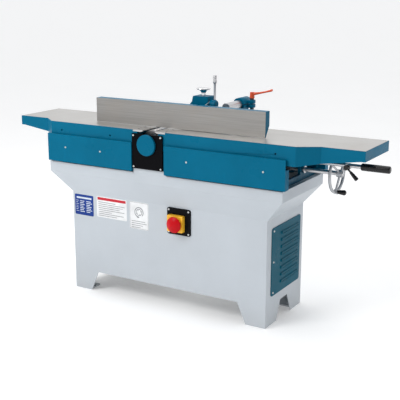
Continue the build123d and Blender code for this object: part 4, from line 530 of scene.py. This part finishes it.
def add_ring(mesh_data, centre, radii, turn, face, steps=40):
    """A flat raised arc on a label that faces -Y, closed to a ring where it turns all the way."""
    inner, outer = radii
    start, stop = turn
    rows = []
    for index in range(steps + 1):
        angle = start + (stop - start) * index / steps
        way = Vector((cos(angle), 0.0, sin(angle)))
        point = Vector((centre[0], 0.0, centre[1]))
        row = []
        for radius, depth in ((inner, 0.0), (outer, 0.0), (outer, PRINT), (inner, PRINT)):
            place = point + way * radius
            row.append(mesh_data.verts.new((place.x, face - depth, place.z)))
        rows.append(row)
    for first, second in zip(rows, rows[1:]):
        for side in range(4):
            following = (side + 1) % 4
            mesh_data.faces.new((first[side], first[following], second[following], second[side]))
    if stop - start < 2 * pi - 0.01:
        mesh_data.faces.new(rows[0])
        mesh_data.faces.new(rows[-1][::-1])
    else:
        bmesh.ops.remove_doubles(mesh_data, verts=rows[0] + rows[-1], dist=1e-7)


def rotation_mark():
    """A border, a ring with four blades and a turning arrow: the direction mark of the cutterhead."""
    low, high, face = label_area("rotation_label")
    wide = high.x - low.x
    centre = (low.x + wide / 2, high.z - wide * 0.46)
    mesh_data = bmesh.new()
    margin = 0.0022
    line = 0.0012
    left, right = low.x + margin, high.x - margin
    bottom, top = low.z + margin, high.z - margin
    add_slab(mesh_data, (left, right), (top - line, top), face)
    add_slab(mesh_data, (left, right), (bottom, bottom + line), face)
    add_slab(mesh_data, (left, left + line), (bottom + line, top - line), face)
    add_slab(mesh_data, (right - line, right), (bottom + line, top - line), face)
    blade_reach = wide * 0.13
    add_ring(mesh_data, centre, (blade_reach, wide * 0.155), (0.0, 2 * pi), face)
    for index in range(4):
        angle = radians(20 + 90 * index)
        add_ring(mesh_data, centre, (wide * 0.06, blade_reach), (angle, angle + 0.22), face, 3)
    tail, tip = radians(-40), radians(250)
    arc = (wide * 0.20, wide * 0.235)
    add_ring(mesh_data, centre, arc, (tail, tip), face)
    way = Vector((cos(tip), 0.0, sin(tip)))
    along = Vector((-sin(tip), 0.0, cos(tip)))
    root = Vector((centre[0], face - PRINT, centre[1])) + way * sum(arc) / 2
    half_head = way * wide * 0.05
    arrow = [root + half_head, root + along * wide * 0.11, root - half_head]
    mesh_data.faces.new([mesh_data.verts.new(point) for point in arrow])
    finish_piece("rotation_mark", mesh_data, "ink_grey", "frame")


rotation_mark()


# ------------------------------------------------------------------ countersunk screws of the lips
# metres; each row of screws runs along Y
LIP_SCREWS = 6
LIP_PITCH = 0.056
LIP_MIDDLE_Y = -0.0505
OUTFEED_LIP_X = -0.129
INFEED_LIP_X = 0.021
HEAD_SIDES = 24
HEAD_TOP = 0.84980
HEAD_RADIUS = 0.0057
HEAD_DEPTH = 0.00315
SHANK_RADIUS = 0.0029
SOCKET_REACH = 0.0022
SOCKET_DEPTH = 0.0018
# rings up the cone and down into the socket: radius, height, and whether the ring is a hexagon
HEAD_PROFILE = (
    (SHANK_RADIUS, HEAD_TOP - HEAD_DEPTH, False),
    (HEAD_RADIUS, HEAD_TOP, False),
    (SOCKET_REACH, HEAD_TOP, True),
    (SOCKET_REACH, HEAD_TOP - SOCKET_DEPTH, True),
)


def head_ring(mesh_data, x, y, radius, z, six_sided):
    """One ring of a screw head; the socket's rings follow a hexagon."""
    ring = []
    for step in range(HEAD_SIDES):
        angle = 2 * pi * step / HEAD_SIDES
        reach = radius / cos(angle % (pi / 3) - pi / 6) if six_sided else radius
        ring.append(mesh_data.verts.new((x + reach * cos(angle), y + reach * sin(angle), z)))
    return ring


def lip_screws(name, x, body):
    """A row of countersunk socket heads in the holes of one lip."""
    mesh_data = bmesh.new()
    for index in range(LIP_SCREWS):
        y = LIP_MIDDLE_Y + (index - (LIP_SCREWS - 1) / 2) * LIP_PITCH
        rings = [head_ring(mesh_data, x, y, radius, z, six_sided) for radius, z, six_sided in HEAD_PROFILE]
        for lower, upper in zip(rings, rings[1:]):
            for step in range(HEAD_SIDES):
                following = (step + 1) % HEAD_SIDES
                mesh_data.faces.new((lower[step], lower[following], upper[following], upper[step]))
        mesh_data.faces.new(rings[0][::-1])
        mesh_data.faces.new(rings[-1])
    finish_piece(name, mesh_data, "dark_steel", body)


lip_screws("outfeed_lip_screws", OUTFEED_LIP_X, "frame")
lip_screws("infeed_lip_screws", INFEED_LIP_X, "infeed")


# ------------------------------------------------------------------ stage and lights
# half the side of the floor, in metres: its far edge lies at the horizon
FLOOR_REACH = 220.0
# the floor lies this far under the feet, so that no two faces share a plane
FLOOR_GAP = 0.0002
LIGHT_TARGET = (0.0, 0.0, 0.7)
# the room darkens towards this way, but only high up; the limits are shares of the way looked in
DIM_WAY = (0.6, -0.8, 0.0)
DIM_SIDE_FULL = 0.6
DIM_SKY_FROM = 0.12
DIM_SKY_FULL = 0.35
SKY_BRIGHT = (0.98, 0.99, 1.0, 1.0)
SKY_DIM = (0.13, 0.13, 0.14, 1.0)


def make_floor():
    """A pale paper floor that glows a little, so that it stays light in shadow."""
    shader = Shader("floor_paper")
    tone = shader.ramp(shader.noise(1.5, 3.0), [(0.3, 0.90), (0.7, 0.93)])
    shader.set(Emission_Color=(1.0, 1.0, 1.0, 1.0), Emission_Strength=0.22, Specular_IOR_Level=0.1)
    shader.wire(tone, shader.ramp(shader.noise(4.0), [(0.3, 0.75), (0.7, 0.85)]))
    mesh_data = bmesh.new()
    bmesh.ops.create_grid(mesh_data, x_segments=1, y_segments=1, size=FLOOR_REACH)
    mesh = bpy.data.meshes.new("floor")
    mesh_data.to_mesh(mesh)
    mesh_data.free()
    floor = bpy.data.objects.new("floor", mesh)
    floor.location.z = -FLOOR_GAP
    floor.data.materials.append(shader.material)
    bpy.context.scene.collection.objects.link(floor)


def area_light(name, place, size, power):
    """A white rectangular lamp aimed at the machine."""
    data = bpy.data.lights.new(name, "AREA")
    data.shape = "RECTANGLE"
    data.size, data.size_y = size
    data.energy = power
    lamp = bpy.data.objects.new(name, data)
    lamp.location = place
    aim = Vector(LIGHT_TARGET) - Vector(place)
    lamp.rotation_euler = aim.to_track_quat("-Z", "Y").to_euler()
    bpy.context.scene.collection.objects.link(lamp)


def studio_room():
    """A white room, dimmer high up on the side of the front and the infeed end."""
    world = bpy.data.worlds.new("studio")
    world.use_nodes = True
    tree = world.node_tree
    way = tree.nodes.new("ShaderNodeTexCoord")
    side = tree.nodes.new("ShaderNodeVectorMath")
    side.operation = "DOT_PRODUCT"
    side.inputs[1].default_value = DIM_WAY
    split = tree.nodes.new("ShaderNodeSeparateXYZ")
    dim_side = tree.nodes.new("ShaderNodeMapRange")
    dim_side.inputs["From Max"].default_value = DIM_SIDE_FULL
    dim_high = tree.nodes.new("ShaderNodeMapRange")
    dim_high.inputs["From Min"].default_value = DIM_SKY_FROM
    dim_high.inputs["From Max"].default_value = DIM_SKY_FULL
    dim = tree.nodes.new("ShaderNodeMath")
    dim.operation = "MULTIPLY"
    room = tree.nodes.new("ShaderNodeValToRGB")
    room.color_ramp.elements[0].color = SKY_BRIGHT
    room.color_ramp.elements[1].color = SKY_DIM
    for source, target in (
        (way.outputs["Generated"], side.inputs[0]),
        (way.outputs["Generated"], split.inputs["Vector"]),
        (side.outputs["Value"], dim_side.inputs["Value"]),
        (split.outputs["Z"], dim_high.inputs["Value"]),
        (dim_side.outputs["Result"], dim.inputs[0]),
        (dim_high.outputs["Result"], dim.inputs[1]),
        (dim.outputs["Value"], room.inputs["Fac"]),
        (room.outputs["Color"], tree.nodes["Background"].inputs["Color"]),
    ):
        tree.links.new(source, target)
    bpy.context.scene.world = world


make_floor()
studio_room()
area_light("key", place=(-1.3, -3.0, 3.2), size=(1.8, 1.8), power=80.0)
area_light("overhead", place=(0.2, 0.4, 3.6), size=(3.4, 2.2), power=24.0)
bpy.context.scene.view_settings.view_transform = "Standard"
